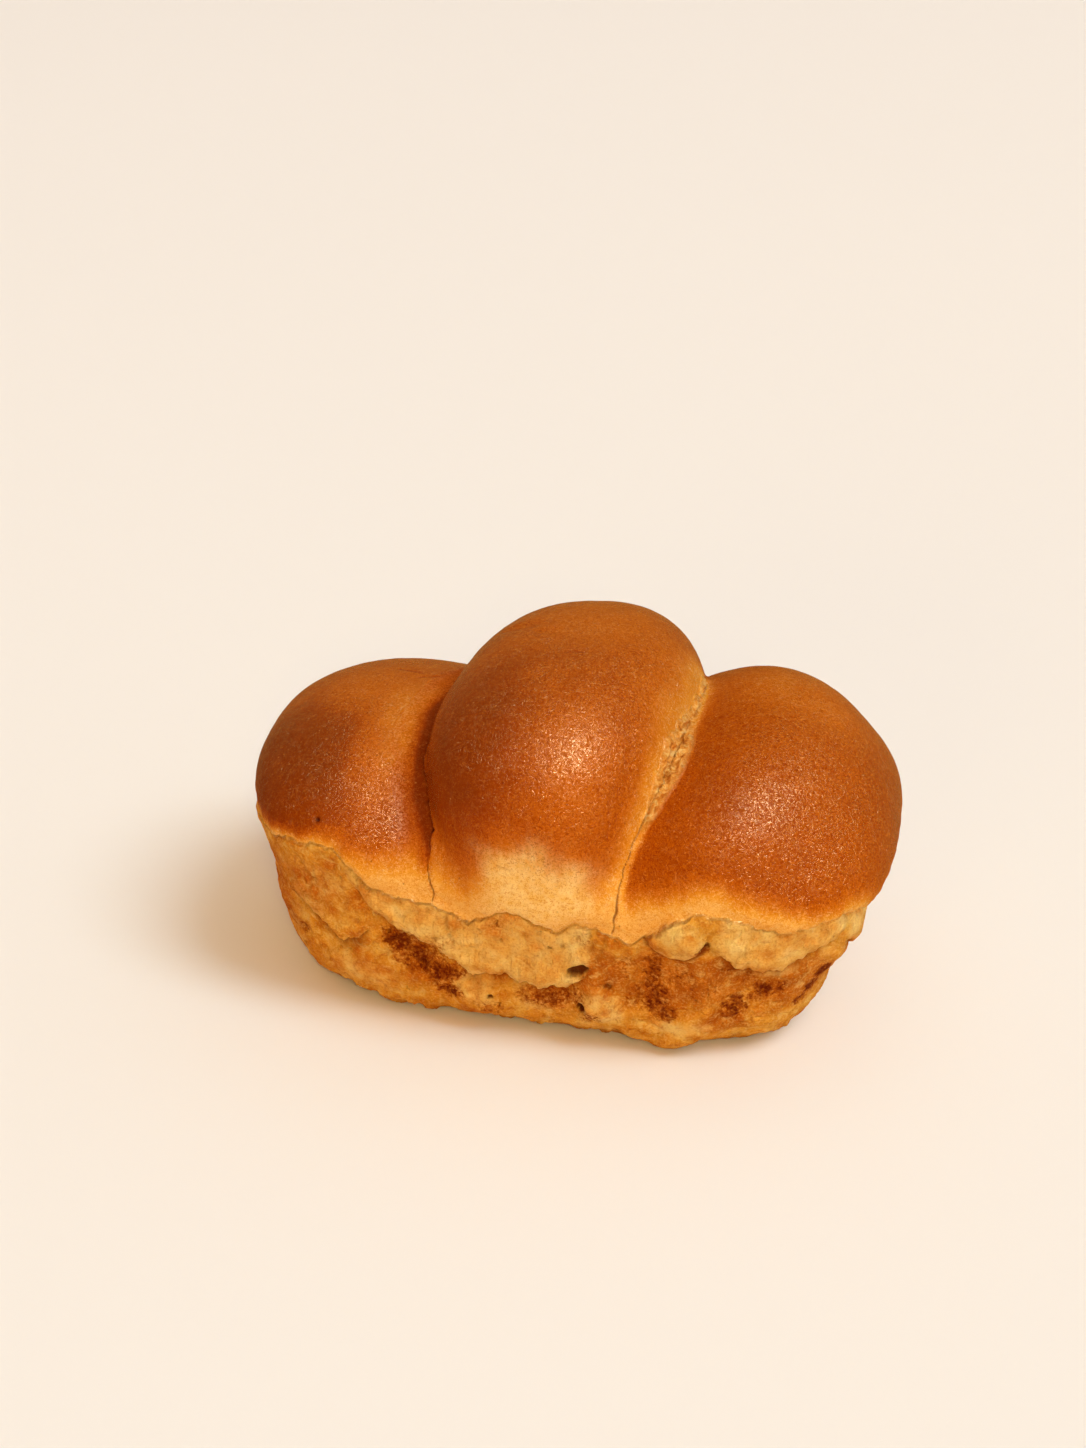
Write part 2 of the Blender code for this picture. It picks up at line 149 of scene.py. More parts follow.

# Holes in the side: distance round, height, half sizes, tilt in degrees, depth. Those of the full
# depth or more get the full painted shade
HOLES = (
    (11.4, 19.7, 2.6, 1.5, 25, 3),
    (12.1, 9.6, 1.1, 1.7, -10, 2.4),
    (17.5, 16, 1.3, 1.1, 0, 0.8),
    (8.5, 25.1, 0.9, 0.8, 0, 0.7),
    (-122, 14, 2, 1.2, -20, 2),
    (120, 12, 1.3, 1, 10, 1.6),
    (-7.2, 9.5, 0.8, 0.7, 0, 1.2),
    (-5.6, 7.3, 0.6, 0.6, 0, 0.9),
    (-4.5, 28.6, 0.5, 0.7, 0, 0.8),
    (-4.1, 24.2, 0.6, 0.4, -20, 0.8),
    (-17.1, 23.2, 0.5, 0.6, 0, 0.6),
    (11.1, 27.8, 1.1, 0.9, 0, 0.5),
    (23.4, 8.5, 0.6, 0.4, 0, 0.7),
    (42.2, 9, 0.6, 0.4, 0, 0.8),
    (35.7, 29, 1.3, 0.8, 10, 0.9),
    (-41, 13.6, 0.5, 0.4, 0, 0.7),
    (-53.4, 9.2, 0.6, 0.5, 0, 0.7),
    (-51.5, 14.8, 0.8, 1.2, 15, 0.7),
)

HOLE_FULL_DEPTH = 1.2

# Small pores of the side, drawn at random
PORES = 150
PORE_SEED = 11
PORE_HEIGHTS = (3, 34)
PORE_TILT = 40
PORE_HALF = (0.35, 0.85)
PORE_DEPTH = (0.35, 0.8)

# The torn strip of crumb in the right-hand valley: how far back, and where its left and right edges
# lie beside the valley's middle
TEAR = (
    (19, -0.3, 0.3), (8, -0.8, 0.3), (0, -1.1, 0.4), (-5, -1.4, 0.7), (-8, -1.9, 1.2),
    (-14, -1.9, 1.7), (-19, -1.3, 1.5), (-23, -0.6, 1), (-26, -0.3, 0.4),
)
TEAR_RISE = 0.5
TEAR_ROUGHNESS = 0.95
TEAR_FIBRE = 0.8
TEAR_STRETCH = (1, 0.5, 0.8)
# How far back, and how far the crust stays golden there on the left and on the right of the valley
GOLDEN = (
    (24, 5, 2), (12, 9, 3), (0, 10, 2.6), (-8, 10, 2.6), (-19, 8, 2.6),
    (-24, 6.5, 1.8), (-30, 5, 1.2), (-38, 4, 1),
)
# The cracks: the right-hand one runs beside the torn strip, the other in the left-hand valley
SEAM_DEPTH = 0.35
SEAM_HALF_WIDTH = 0.22
SEAM_RIM = 0.06
SEAM_RIM_WIDTH = 0.35
RIGHT_CRACK = -0.3
# How far the left-hand crack strays to the left of the middle of its valley, by height
LEFT_CRACK = ((30, 1.4), (36, 1.2), (44, 0.2), (52, 0), (60, 0.4))

# Dents of the top: middle, half sizes and depth. The small ones are pits, darkened with painted shade
PIT_SIZE = 1
DENTS = (
    ((-13.5, 9.5, 69), (8, 3, 4), 0.7),
    ((-7.5, 5.5, 71.5), (5, 2, 3), 0.4),
    ((-41.9, -32.5, 43.6), (0.9, 0.9, 0.9), 0.9),
    ((-21.6, -26.1, 47.9), (0.7, 0.7, 0.9), 0.8),
    ((-19.3, -30, 43.9), (0.6, 0.6, 0.8), 0.8),
)

# Unevenness
SIDE_LUMP = 0.7
SIDE_LUMP_LENGTH = 9
SIDE_GRAIN = 0.28
SIDE_GRAIN_LENGTH = 3.2
SIDE_CRUMB = 0.13
SIDE_CRUMB_LENGTH = 1.5
TOP_LUMP = 0.3
TOP_LUMP_LENGTH = 15
TOP_WRINKLE = 0.07
TOP_WRINKLE_LENGTH = 2.6
RIDGE_RISE = 0.5
RIDGE_LENGTH = 2.4
PLEAT_RISE = 0.45
PLEAT_WIDTH = 2.4
PLEAT_HEIGHT = 9

# Grooves on the buns, such as wrinkles, scuffs and scratches: two ends, half width, depth, and how
# much painted shade darkens them
MARKS = (
    ((15.4, -30, 56.1), (15.6, -31.5, 49.2), 0.45, 0.22, 0.8),
    ((13.8, -31.3, 53.5), (14.2, -32.6, 50.6), 0.35, 0.15, 0.6),
    ((16.9, -29.4, 53.6), (17, -30.6, 50), 0.35, 0.15, 0.5),
    ((-41.7, 13.1, 53.9), (-36.5, 12, 54.4), 0.7, 0.15, 0.7),
    ((-36.2, 9.6, 54.6), (-32.4, 11.4, 54.3), 0.6, 0.15, 0.6),
    ((56, 2.8, 54.5), (62, 4.4, 45.8), 0.35, 0.12, 0.4),
    ((57, 8.8, 54), (61.5, 9, 48.5), 0.3, 0.1, 0.3),
    ((-0.6, -3.6, 72), (2.2, -3, 72), 0.7, 0.15, 0.7),
    ((-4, -37.3, 43), (3, -38.3, 41.4), 0.45, 0.3, 0.3),
    ((3, -38.3, 41.4), (11, -37.6, 42.6), 0.45, 0.3, 0.3),
    ((-16.9, -33.5, 40), (-16.4, -35.6, 33), 0.5, 0.45, 0.4),
    ((-18.6, -33, 38.5), (-18.2, -34.5, 33.5), 0.4, 0.3, 0.3),
)

# Upright creases of the side: (distance round, height) points, half width and depth
CREASES = (
    (((-14.4, 29.5), (-14.9, 26), (-13.6, 22.5)), 0.5, 0.5),
    (((-18.6, 29.8), (-18.2, 27.6)), 0.4, 0.3),
    (((13.3, 31.1), (14, 27.5), (14.9, 23.3)), 0.45, 0.45),
    (((16.8, 29.3), (16.4, 26), (15.5, 23.7)), 0.45, 0.4),
    (((35.2, 34), (35.8, 30.5), (37.5, 27)), 0.4, 0.3),
    (((43.5, 32), (43, 27.5), (44.5, 24)), 0.4, 0.3),
    (((-46, 36), (-43.5, 30.5), (-44.5, 26)), 0.4, 0.3),
    (((90, 31), (91.5, 25.5), (90.2, 20)), 0.5, 0.4),
    (((128, 32), (126.5, 27), (128.5, 21.5)), 0.5, 0.4),
    (((-142, 28), (-140.5, 23.5), (-142.5, 19)), 0.5, 0.4),
    (((-104, 32), (-105, 27.5), (-103.5, 23)), 0.5, 0.4),
)

# Nubs of crumb stuck round the bottom edge, drawn at random
NUBS = 80
NUB_SEED = 5
NUB_HEIGHTS = (0.6, 5)
NUB_HALF = (0.6, 2)
NUB_RISE = (0.2, 0.7)

# How far the crust's edge and the folds hang down over what is below them
LIP_DROOP = 0.5
FOLD_DROOP = 0.45

# How fine the mesh is, and how often its points are moved onto the loaf each time. The side is cut
# once more, and the cracks, marks and torn strip twice
ROUGH_VOXEL = 2.2
FINE_VOXEL = 1.25
ROUGH_ROUNDS = 14
FINE_ROUNDS = 6
CUT_ROUNDS = 4
LONGEST_MOVE = 4
SEAM_REACH = 1.2
STRIP_SPAN = (-2.5, 5)
STRIP_FRONT = -28
PIT_REACH = 2.5
MARK_REACH = 1
LOWEST_DETAIL = 25
# The block that the base starts from: its height, and how far inside the base's half sizes it is
BLOCK_HEIGHT = 31
BLOCK_INSET = (8, 4)

# Browning: distance round, and the heights over the lip where the crust stops being pale and where it
# is fully brown
BROWNING = (
    (-168, 2, 7), (-150, 4, 11), (-130, 3, 9), (-110, 1.5, 6), (-66, 0.6, 4.5), (-45, 0.4, 3.8),
    (-36, 0.6, 6), (-28, 2.4, 12.5), (-22, 4.5, 18), (-17, 4.5, 18), (-12, 3.5, 17), (-8, 3.5, 18),
    (-3, 6, 23), (9, 6, 22), (15, 3.5, 16), (20, 4.6, 13.5), (25, 4.8, 11.5), (34, 2.4, 8.8),
    (45, 2, 8.6), (57, 1.3, 7.4), (66, 0.8, 5.5), (90, 0.8, 5), (112, 2, 7), (135, 3, 10),
    (150, 4, 11),
)

# Places of the domes painted darker, mostly as shade on flanks turned from the lamps, or lighter where
# the number is minus, as painted light on the tops and round the highlights: middle, half sizes
LIT_AND_SHADED_SPOTS = (
    ((-52, -20, 46), (22, 23, 17), 0.5),
    ((-12.5, -24, 61), (14, 24, 21), 0.42),
    ((63, 5, 46), (9, 20, 15), 0.1),
    ((34, -16, 53), (9, 13, 8), 0.15),
    ((-33, -14, 53), (9, 24, 13), -0.5),
    ((-42, 4, 55), (16, 15, 6), -0.3),
    ((9, -29, 58), (9, 20, 20), -0.32),
    ((-2, 12, 72), (22, 16, 9), -0.28),
    ((42, 15, 61), (22, 15, 9), -0.35),
)
# The left bun is painted darker beside its valley, as the middle one's shade: how far from it, and
# how much
VALLEY_REACHES = 2.1
VALLEY_PAINTED_SHADE = 1.2

# Burnt caramel on the side: distance round, height, half sizes, strength
CARAMEL = (
    (-23.3, 21.3, 4, 1.8, 0.9), (-21.9, 15.5, 4.6, 4.6, 0.9), (-17, 13, 3.6, 2.6, 1),
    (-15.8, 9.5, 3, 2, 0.9), (-26.2, 19, 3.4, 3.2, 0.95), (5, 10.6, 6, 2.6, 0.7),
    (-17.5, 21.5, 3.5, 2.6, 0.4), (14.5, 8.5, 2.6, 2.2, 0.6), (-8, 6.5, 4, 2.2, 0.5),
    (10, 12.1, 3, 2.6, 0.5), (26.2, 20.5, 2.2, 5, 0.75), (27.3, 15, 3.5, 3.8, 0.85),
    (30.1, 11.4, 2.6, 1.8, 0.8), (24.3, 14.5, 3, 3, 0.5), (50.5, 16.5, 4.4, 2.6, 1),
    (53.4, 16.8, 2.2, 1.8, 0.8), (47.5, 15, 3, 2.2, 0.7), (43.7, 13.6, 3.4, 2.8, 0.9),
    (44.7, 19.4, 3, 2.4, 0.4), (63.4, 17.6, 2.6, 2.3, 1), (61, 14.7, 2.8, 2, 1),
    (58.4, 12.2, 2.5, 1.5, 0.8), (34.9, 28.4, 1.8, 1.2, 0.8), (41.5, 22.9, 1.9, 1.3, 0.7),
    (34.5, 19, 8, 5, 0.38), (20, 22, 5, 5, 0.35), (-50, 24.1, 2.2, 1.3, 0.6),
    (-51.5, 14.5, 1.7, 2.7, 0.6), (-53.4, 9.2, 1.1, 1, 0.5), (-42.8, 18.2, 2.2, 1.6, 0.45),
    (-29, 27, 2, 1.6, 0.25), (13.2, 27.5, 2.6, 2, 0.3), (-5, 28, 1.6, 1.6, 0.35),
    (80, 16, 7, 3, 0.7), (87, 11, 5, 4, 0.9), (97, 19, 2, 2, 0.5),
    (114, 20, 3, 2, 0.6), (124, 13, 6, 5, 0.9), (131, 8, 6, 2.5, 0.8),
    (137, 16, 3, 2, 0.6), (154, 10, 3, 2.5, 0.5), (-165, 19, 4, 6, 0.8),
    (-159, 11, 8, 4, 0.9), (-146, 20, 2, 1.5, 0.5), (-131, 9, 4, 2, 0.5),
    (-118, 17, 3, 5, 0.7), (-113, 10, 5, 3, 1), (-96, 17, 2.5, 2, 0.6),
    (-88, 11, 6, 3, 0.8), (-75, 18, 4, 2, 0.5),
)

# Evenly tan-brown places of the side, in the same way
TAN = (
    (34, 20, 20, 9, 0.85), (56, 17, 13, 8, 0.8), (16, 20, 8, 7, 0.9),
    (41, 9.5, 7, 4, 0.9),
    (-47, 28, 13, 9, 0.6), (-58, 22, 9, 14, 0.75), (-20, 13, 9, 7, 0.5),
    (7, 10.5, 9, 4, 0.6), (86, 14, 18, 9, 0.7), (124, 14, 18, 9, 0.75),
    (160, 18, 14, 9, 0.7), (-140, 13, 18, 8, 0.75), (-100, 15, 16, 9, 0.7),
)

# Pale, hardly baked places of the side, in the same way
PALE = (
    (-20, 26.5, 7, 4, 0.7), (-10.5, 10.8, 4.8, 4, 0.8), (-3, 23.5, 10, 5, 0.4),
    (16.5, 10.8, 5, 3.4, 0.9), (50.5, 20.6, 5.5, 1.5, 0.7), (33, 7.6, 8, 3, 0.6),
    (52, 27.5, 11, 4, 0.5), (29.7, 29, 4.6, 4.2, 0.35), (-40, 31, 9, 4, 0.45),
    (1, 8, 5, 2.5, 0.4), (-37, 9, 12, 5, 0.65), (90, 26, 12, 4, 0.6),
    (125, 26, 12, 5, 0.6), (152, 9, 8, 3, 0.6), (-150, 24, 9, 4, 0.5),
    (-120, 26, 9, 4, 0.6), (-98, 24, 10, 4, 0.5), (-70, 27, 8, 4, 0.5),
)

# The pale patch low on the middle bun's front, and a smaller one at its back: middle, half sizes and
# strength
PATCHES = (
    ((3.5, -37, 38), (13, 12, 11), 1),
    ((-6, 39, 37), (14, 12, 9), 0.7),
)

# The photograph's viewpoint, in the loaf's own frame before it is centred on its footprint
CAMERA_PLACE = (120.4, -398.3, 281.4)
CAMERA_AZIMUTH = 17.7
CAMERA_ELEVATION = 28.61
LENS_MM = 60
SENSOR_MM = 36
NEAREST_SEEN = 0.01
FLOOR_HALF = 4

# Lamps: azimuth and elevation seen from the loaf, width and height, power, colour, and whether it shows
# in the gloss. A cool tall one stands to the right, a warm one in front and a weak warm one low down.
# These light the bread and don't show in its gloss; the card at the upper right shows in the gloss alone
LAMP_DISTANCE = 14
LAMPS = (
    ("side lamp", 81, 55, (5.1, 8.4), 1115, (0.67, 0.88, 1), False),
    ("front lamp", 22, 33, (3.5, 5.6), 830, (1, 0.84, 0.35), False),
    ("low fill", -8, 14, (5.6, 3.9), 214, (1, 0.84, 0.4), False),
    ("gloss card", 54.5, 59, (5.9, 8.6), 6900, (1, 0.97, 0.8), True),
)
# Light of the room: even, and glows round a direction (azimuth, elevation, how narrow, colour). The
# glaze shows it warmer and dimmer
ROOM_EVEN = (0.17, 0.01, 0)
ROOM_GLOWS = (
    (0, 90, 2, (0.48, 0.48, 0.33)),
    (90, 20, 2, (0.209, 0.363, 0.52)),
    (180, 30, 2, (0.164, 0.269, 0.36)),
)
ROOM_IN_GLAZE = (0.7, 0.42, 0.05)
EVEN_IN_GLAZE = (0.34, 0.22, 0.07)


def smooth_max(a, b, width):
    near = np.maximum(width - np.abs(a - b), 0) / width
    return np.maximum(a, b) + near * near * width / 4


def smooth_min(a, b, width):
    return -smooth_max(-a, -b, width)


def smooth_step(low, high, value):
    t = np.clip((value - low) / (high - low), 0, 1)
    return t * t * (3 - 2 * t)


def turned(x, y, degrees):
    c, s = math.cos(math.radians(degrees)), math.sin(math.radians(degrees))
    return x * c + y * s, y * c - x * s


def rounded(a, b, squareness):
    """How far out a point is, as a share of a squarish round's half sizes."""
    return (np.abs(a) ** squareness + np.abs(b) ** squareness + 1e-9) ** (1 / squareness)


def bun_distance(bun, points):
    """Distance outside one bun, a squarish ellipsoid that leans and flares."""
    x, y, z = (points - bun["middle"]).T
    x, y = turned(x, y, bun["turn"])
    x, z = turned(x, z, -bun["lean"])
    half_x, half_y, half_z = bun["half"]
    half_x = half_x * (1 + bun["flare"] * np.tanh(z / half_z))
    half_z = np.where(z < 0, half_z * bun["lower"], half_z)
    plan = rounded(x / half_x, y / half_y, bun["plan"])
    whole = rounded(plan, z / half_z, bun["side"])
    return np.sqrt(x * x + y * y + z * z) * (1 - 1 / whole)


def base_plan(points):
    return turned(points[:, 0] - BASE_MIDDLE[0], points[:, 1] - BASE_MIDDLE[1], BASE_TURN)


def ring():
    """Angles round the base, the distance round it at each, 0 at the front's middle, and the whole way."""
    angle = np.radians(np.linspace(-270, 90, 1441))
    across, back = np.cos(angle), np.sin(angle)
    radius = 1 / rounded(across, back, BASE_SQUARENESS)
    steps = np.hypot(np.diff(BASE_HALF_TOP[0] * radius * across), np.diff(BASE_HALF_TOP[1] * radius * back))
    length = np.concatenate([[0], np.cumsum(steps)])
    return angle, length - np.interp(-math.pi / 2, angle, length), length[-1]


RING_ANGLE, RING_LENGTH, ROUND = ring()


def way_round(points):
    x, y = base_plan(points)
    angle = np.arctan2(y / BASE_HALF_TOP[1], x / BASE_HALF_TOP[0])
    angle = np.where(angle > math.pi / 2, angle - 2 * math.pi, angle)
    return np.interp(angle, RING_ANGLE, RING_LENGTH)


def apart(around, place):
    """Signed distance round the base from a place, the short way."""
    return (around - place + ROUND / 2) % ROUND - ROUND / 2


def ragged(around, waves):
    """How far a ragged line round the base strays up at each place."""
    return sum(height * np.sin(pace * around + start) for height, pace, start in waves)


def height_above_lip(points, around):
    place, height = np.array(LIP, float).T
    return points[:, 2] - np.interp(around, place, height, period=ROUND) - ragged(around, LIP_WAVES)


def base_distance(points, around, above):
    x, y = base_plan(points)
    z = points[:, 2]
    t = np.clip(z / BASE_TAPER_HEIGHT, -0.3, 1.3)
    half_x = BASE_HALF_BOTTOM[0] + (BASE_HALF_TOP[0] - BASE_HALF_BOTTOM[0]) * t
    half_y = BASE_HALF_BOTTOM[1] + (BASE_HALF_TOP[1] - BASE_HALF_BOTTOM[1]) * t
    plan = rounded(x / half_x, y / half_y, BASE_SQUARENESS)
    side = np.hypot(x, y) * (1 - 1 / np.maximum(plan, 1e-3))
    place, half_width, drawn = DRAWN_IN
    near = 1 - smooth_step(0.3, 1, np.abs(apart(around, place)) / half_width)
    side = side + drawn * near * smooth_step(0.5, 1.1, t)
    body = smooth_max(side, -z, BOTTOM_ROUNDING)
    return smooth_max(body, above - SHOULDER_ABOVE_LIP, SHOULDER_ROUNDING)


def loaf(points):
    """Distance outside the loaf, and what the relief needs: each bun's distance and the lip's."""
    around = way_round(points)
    above = height_above_lip(points, around)
    left, middle, right = (bun_distance(BUNS[name], points) for name in ("left", "middle", "right"))
    valley = VALLEY_TOP + (VALLEY_LIP - VALLEY_TOP) * smooth_step(-VALLEY_REACH - 2, -2, -above)
    crust = smooth_min(smooth_min(left, middle, valley), right, valley)
    crust = smooth_max(crust, -above, LIP_ROUNDING)
    base = base_distance(points, around, above)
    return smooth_min(crust, base, LIP_CREASE), left, middle, right, around, above


def slope(points, step=0.15):
    """Gradient of the loaf's distance."""
    parts = []
    for axis in range(3):
        shift = np.zeros(3)
        shift[axis] = step
        parts.append((loaf(points + shift)[0] - loaf(points - shift)[0]) / (2 * step))
    return np.stack(parts, axis=1)


def settle(points, rounds):
    """Moves points onto the loaf's surface."""
    for _ in range(rounds):
        gradient = slope(points)
        length = np.maximum((gradient * gradient).sum(axis=1), 0.09)
        move = loaf(points)[0] / length
        points = points - np.clip(move, -LONGEST_MOVE, LONGEST_MOVE)[:, None] * gradient
    return points


def lumps(points, length, offset):
    """A smooth random pattern, about -1 to 1. The offset keeps it apart from the other patterns."""
    return np.array([noise.noise(Vector(p / length) + Vector((offset, 0, 0))) for p in points])


def out_on_side(around, z, place, height, half_round, half_high):
    """How far each point is from a place on the side, as a share of the place's half sizes."""
    return np.hypot(apart(around, place) / half_round, (z - height) / half_high)


def out_in_space(points, centre, half):
    """How far each point is from a place in the loaf, as a share of the place's half sizes."""
    return np.linalg.norm((points - centre) / np.array(half), axis=1)


def spots(around, z, places, wobble):
    """The strongest of a list of soft-edged spots of the side at each point, 0 to 1."""
    most = np.zeros(len(z))
    for *where, strength in places:
        r = out_on_side(around, z, *where) + wobble
        most = np.maximum(most, strength * smooth_step(1.5, 0.2, r))
    return most


def from_line(points, first, last):
    """Distance of each point from the line between two places."""
    along = np.subtract(last, first)
    t = np.clip((points - first) @ along / (along @ along), 0, 1)
    return np.linalg.norm(points - first - t[:, None] * along, axis=1)


def folds(around, z, side):
    """The side's folds: how far they stand out and hang down, the shade under each, and pale skin."""
    out, droop, shade, skin = np.zeros((4, len(z)))
    for edge, depth, paleness in FOLDS:
        place, height = np.array(edge, float).T
        middle = (place[0] + place[-1]) / 2
        local = apart(around, middle)
        inside = (place[-1] - place[0]) / 2 - np.abs(local)
        fade = side * smooth_step(0, FOLD_FADE, inside)
        over = z - np.interp(local, place - middle, height) - ragged(around, FOLD_WAVES)
        roll = 1 - np.clip(over / FOLD_ROLL, 0, 1)
        below = np.exp(np.minimum(over, 0) / FOLD_REACH)
        out -= fade * depth * np.where(over < 0, below, 1 - np.sqrt(1 - roll * roll))
        swell = np.exp(-np.maximum(over - FOLD_ROLL, 0) / FOLD_SWELL_REACH)
        out += fade * depth * FOLD_SWELL * smooth_step(-0.4, FOLD_ROLL, over) * swell
        droop += fade * depth * np.exp(-((over - 0.4) / 0.9) ** 2)
        under = smooth_step(0.3, -0.3, over) * np.exp(np.minimum(over, 0) / FOLD_SHADE)
        shade = np.maximum(shade, fade * under)
        skin = np.maximum(skin, paleness * smooth_step(0, 3, inside) * smooth_step(-0.3, 0.8, over))
    return out, droop, shade, skin


def hollows(around, z):
    """Hollows of the side: their depth, or minus how far the swellings stand out."""
    deep = np.zeros(len(z))
    for *where, depth in HOLLOWS:
        deep += depth * smooth_step(1.2, 0.2, out_on_side(around, z, *where))
    return deep


def beads(around, z, above):
    """Beads of dough under the lip: how far they stand out, the shade under each, and pale skin."""
    out, shade, skin = np.zeros((3, len(z)))
    for *where, rise in BEADS:
        r = out_on_side(around, z, *where)
        out += smooth_step(1, 0, above) * rise * np.sqrt(np.clip(1 - r * r, 0, 1))
        rim = smooth_step(1.3, 1.05, r) * smooth_step(0.9, 1.05, r)
        shade = np.maximum(shade, 0.8 * rim * (z < where[1]))
        skin = np.maximum(skin, 0.5 * smooth_step(1.1, 0.9, r))
    return out, shade, skin


def pores():
    """Small pores of the side, drawn at random, listed as the holes are."""
    draw = np.random.default_rng(PORE_SEED)
    found = []
    for _ in range(PORES):
        place = draw.uniform(-ROUND / 2, ROUND / 2)
        height = draw.uniform(*PORE_HEIGHTS)
        half_round, half_high = draw.uniform(*PORE_HALF, 2)
        tilt = draw.uniform(-PORE_TILT, PORE_TILT)
        found.append((place, height, half_round, half_high, tilt, draw.uniform(*PORE_DEPTH)))
    return found


def holes(around, z, above):
    """Holes and pores of the side: their depth, and how much painted shade darkens each point in them."""
    deep, hole_shade = np.zeros((2, len(z)))
    for place, height, half_round, half_high, tilt, depth in list(HOLES) + pores():
        a, b = turned(apart(around, place), z - height, tilt)
        near = np.abs(a) + np.abs(b) < 4 * max(half_round, half_high)
        r = np.hypot(a[near] / half_round, b[near] / half_high)
        under = smooth_step(0.3, -0.8, above[near])
        sunk = depth * smooth_step(1.1, 0.45, r)
        darkest = min(1, depth / HOLE_FULL_DEPTH)
        deep[near] = np.maximum(deep[near], under * sunk)
        hole_shade[near] = np.maximum(hole_shade[near], under * darkest * smooth_step(1.1, 0.7, r))
    return deep, hole_shade


def nubs(around, z, wobble):
    """Crumbs that stick out round the bottom edge."""
    out = np.zeros(len(z))
    draw = np.random.default_rng(NUB_SEED)
    for _ in range(NUBS):
        place = draw.uniform(-ROUND / 2, ROUND / 2)
        height = draw.uniform(*NUB_HEIGHTS)
        half = draw.uniform(*NUB_HALF)
        rise = draw.uniform(*NUB_RISE)
        r = np.hypot(apart(around, place), z - height) / half + wobble
        out = np.maximum(out, rise * smooth_step(1.1, 0.3, r))
    return out


def creases(around, z):
    """Upright creases of the side: their depth, 0 away from them."""
    deep = np.zeros(len(z))
    for line, half_width, depth in CREASES:
        line = np.array(line, float)
        flat = np.stack([line[0, 0] + apart(around, line[0, 0]), z], axis=1)
        for first, last in zip(line[:-1], line[1:]):
            r = from_line(flat, first, last) / half_width
            deep = np.maximum(deep, depth * smooth_step(1, 0.1, r))
    return deep


def marks(points):
    """Wrinkles and scratches of the buns: their depth, and how much painted shade darkens them."""
    deep, red = np.zeros((2, len(points)))
    for first, last, half_width, depth, shade_strength in MARKS:
        inside = smooth_step(1, 0.1, from_line(points, first, last) / half_width)
        deep = np.maximum(deep, depth * inside)
        red = np.maximum(red, shade_strength * inside)
    return deep, red


def dents(points):
    """Dents of the top: their depth, and 1 in those that are pits, which get painted shade."""
    deep, pit_shade = np.zeros((2, len(points)))
    for centre, half, depth in DENTS:
        sunk = smooth_step(1, 0.1, out_in_space(points, centre, half))
        deep += depth * sunk
        if max(half) < PIT_SIZE:
            pit_shade = np.maximum(pit_shade, sunk)
    return deep, pit_shade


def torn_strip(y, beside, grain):
    """1 on the strip of torn crumb, by how far a point lies to the right of the valley's middle."""
    along, left_edge, right_edge = np.array(TEAR)[::-1].T
    frayed = 1 + 0.25 * grain
    left_edge = np.interp(y, along, left_edge) * frayed
    right_edge = np.interp(y, along, right_edge) * frayed
    inside = smooth_step(-0.4, 0.3, beside - left_edge) * smooth_step(-0.6, 0.5, right_edge - beside)
    return inside * smooth_step(along[-1], along[-1] - 3, y) * smooth_step(along[0], along[0] + 2, y)


def golden_band(y, beside):
    """1 where the crust beside the right-hand valley stayed golden."""
    along, left_reach, right_reach = np.array(GOLDEN)[::-1].T
    reach = np.where(beside < 0, np.interp(y, along, left_reach), np.interp(y, along, right_reach))
    band = smooth_step(1, 0, np.abs(beside) / reach)
    return band * smooth_step(along[-1], along[-1] - 6, y)


def browning_and_painted_light(points, around, above):
    """0 where the crust is pale and 1 where it is fully brown, with spots of painted shade and painted
    light.
    """
    place, low, high = np.array(BROWNING).T
    low = np.interp(around, place, low, period=ROUND)
    high = np.interp(around, place, high, period=ROUND)
    height = above + 1.8 * lumps(points, 9, 21)
    brown_and_painted_light = np.clip((height - low) / (high - low), 0, 1)
    # Spots of painted shade, darker, and of painted light, lighter
    for centre, half, change in LIT_AND_SHADED_SPOTS:
        near = smooth_step(1.15, 0.3, out_in_space(points, centre, half))
        brown_and_painted_light += change * near * smooth_step(0.3, 1, brown_and_painted_light)
    return brown_and_painted_light


def flour(points):
    """How strong the pale patches are at each point."""
    warp = 0.4 * lumps(points, 7, 31)
    pale = np.zeros(len(points))
    for centre, half, strength in PATCHES:
        pale += strength * smooth_step(1.3, 0.25, out_in_space(points, centre, half) + warp)
    return pale


def cracks(y, above, left_gap, right_gap):
    """Cracks of both valleys: their groove and raised rims, and 1 in the groove, where painted shade goes.
    """
    out, crack_shade = np.zeros((2, len(y)))
    left_reach = smooth_step(26, 16, above)
    right_reach = smooth_step(22, 14, y)
    for gap, reaches in ((left_gap, left_reach), (right_gap, right_reach)):
        groove = reaches * smooth_step(1, 0.1, np.abs(gap) / SEAM_HALF_WIDTH)
        rim = np.exp(-((np.abs(gap) - 2 * SEAM_HALF_WIDTH) / SEAM_RIM_WIDTH) ** 2)
        out += reaches * SEAM_RIM * rim - groove * SEAM_DEPTH
        crack_shade = np.maximum(crack_shade, groove)
    return out, crack_shade


def left_valley(y, above, left_gap):
    """The left bun in the middle one's shade: how much painted shade darkens it, and 1 where it has no
    gloss.
    """
    beside = np.abs(left_gap)
    valley = smooth_step(VALLEY_REACHES, 0, beside) * (left_gap < SEAM_HALF_WIDTH)
    painted_shade = VALLEY_PAINTED_SHADE * valley * smooth_step(5, 14, above) * smooth_step(30, 24, above)
    dull = smooth_step(2.2 * VALLEY_REACHES, 0.8 * VALLEY_REACHES, beside) * (left_gap < 0)
    return painted_shade * smooth_step(14, -4, y), np.maximum(valley, dull)


def thin_wash(above, beside):
    """How thin the egg wash is: near the lip, and on the right bun beside its valley."""
    by_valley = 0.75 * smooth_step(14, 5, beside) * (beside > 0)
    return np.maximum(0.7 * smooth_step(12, 3, above), by_valley)


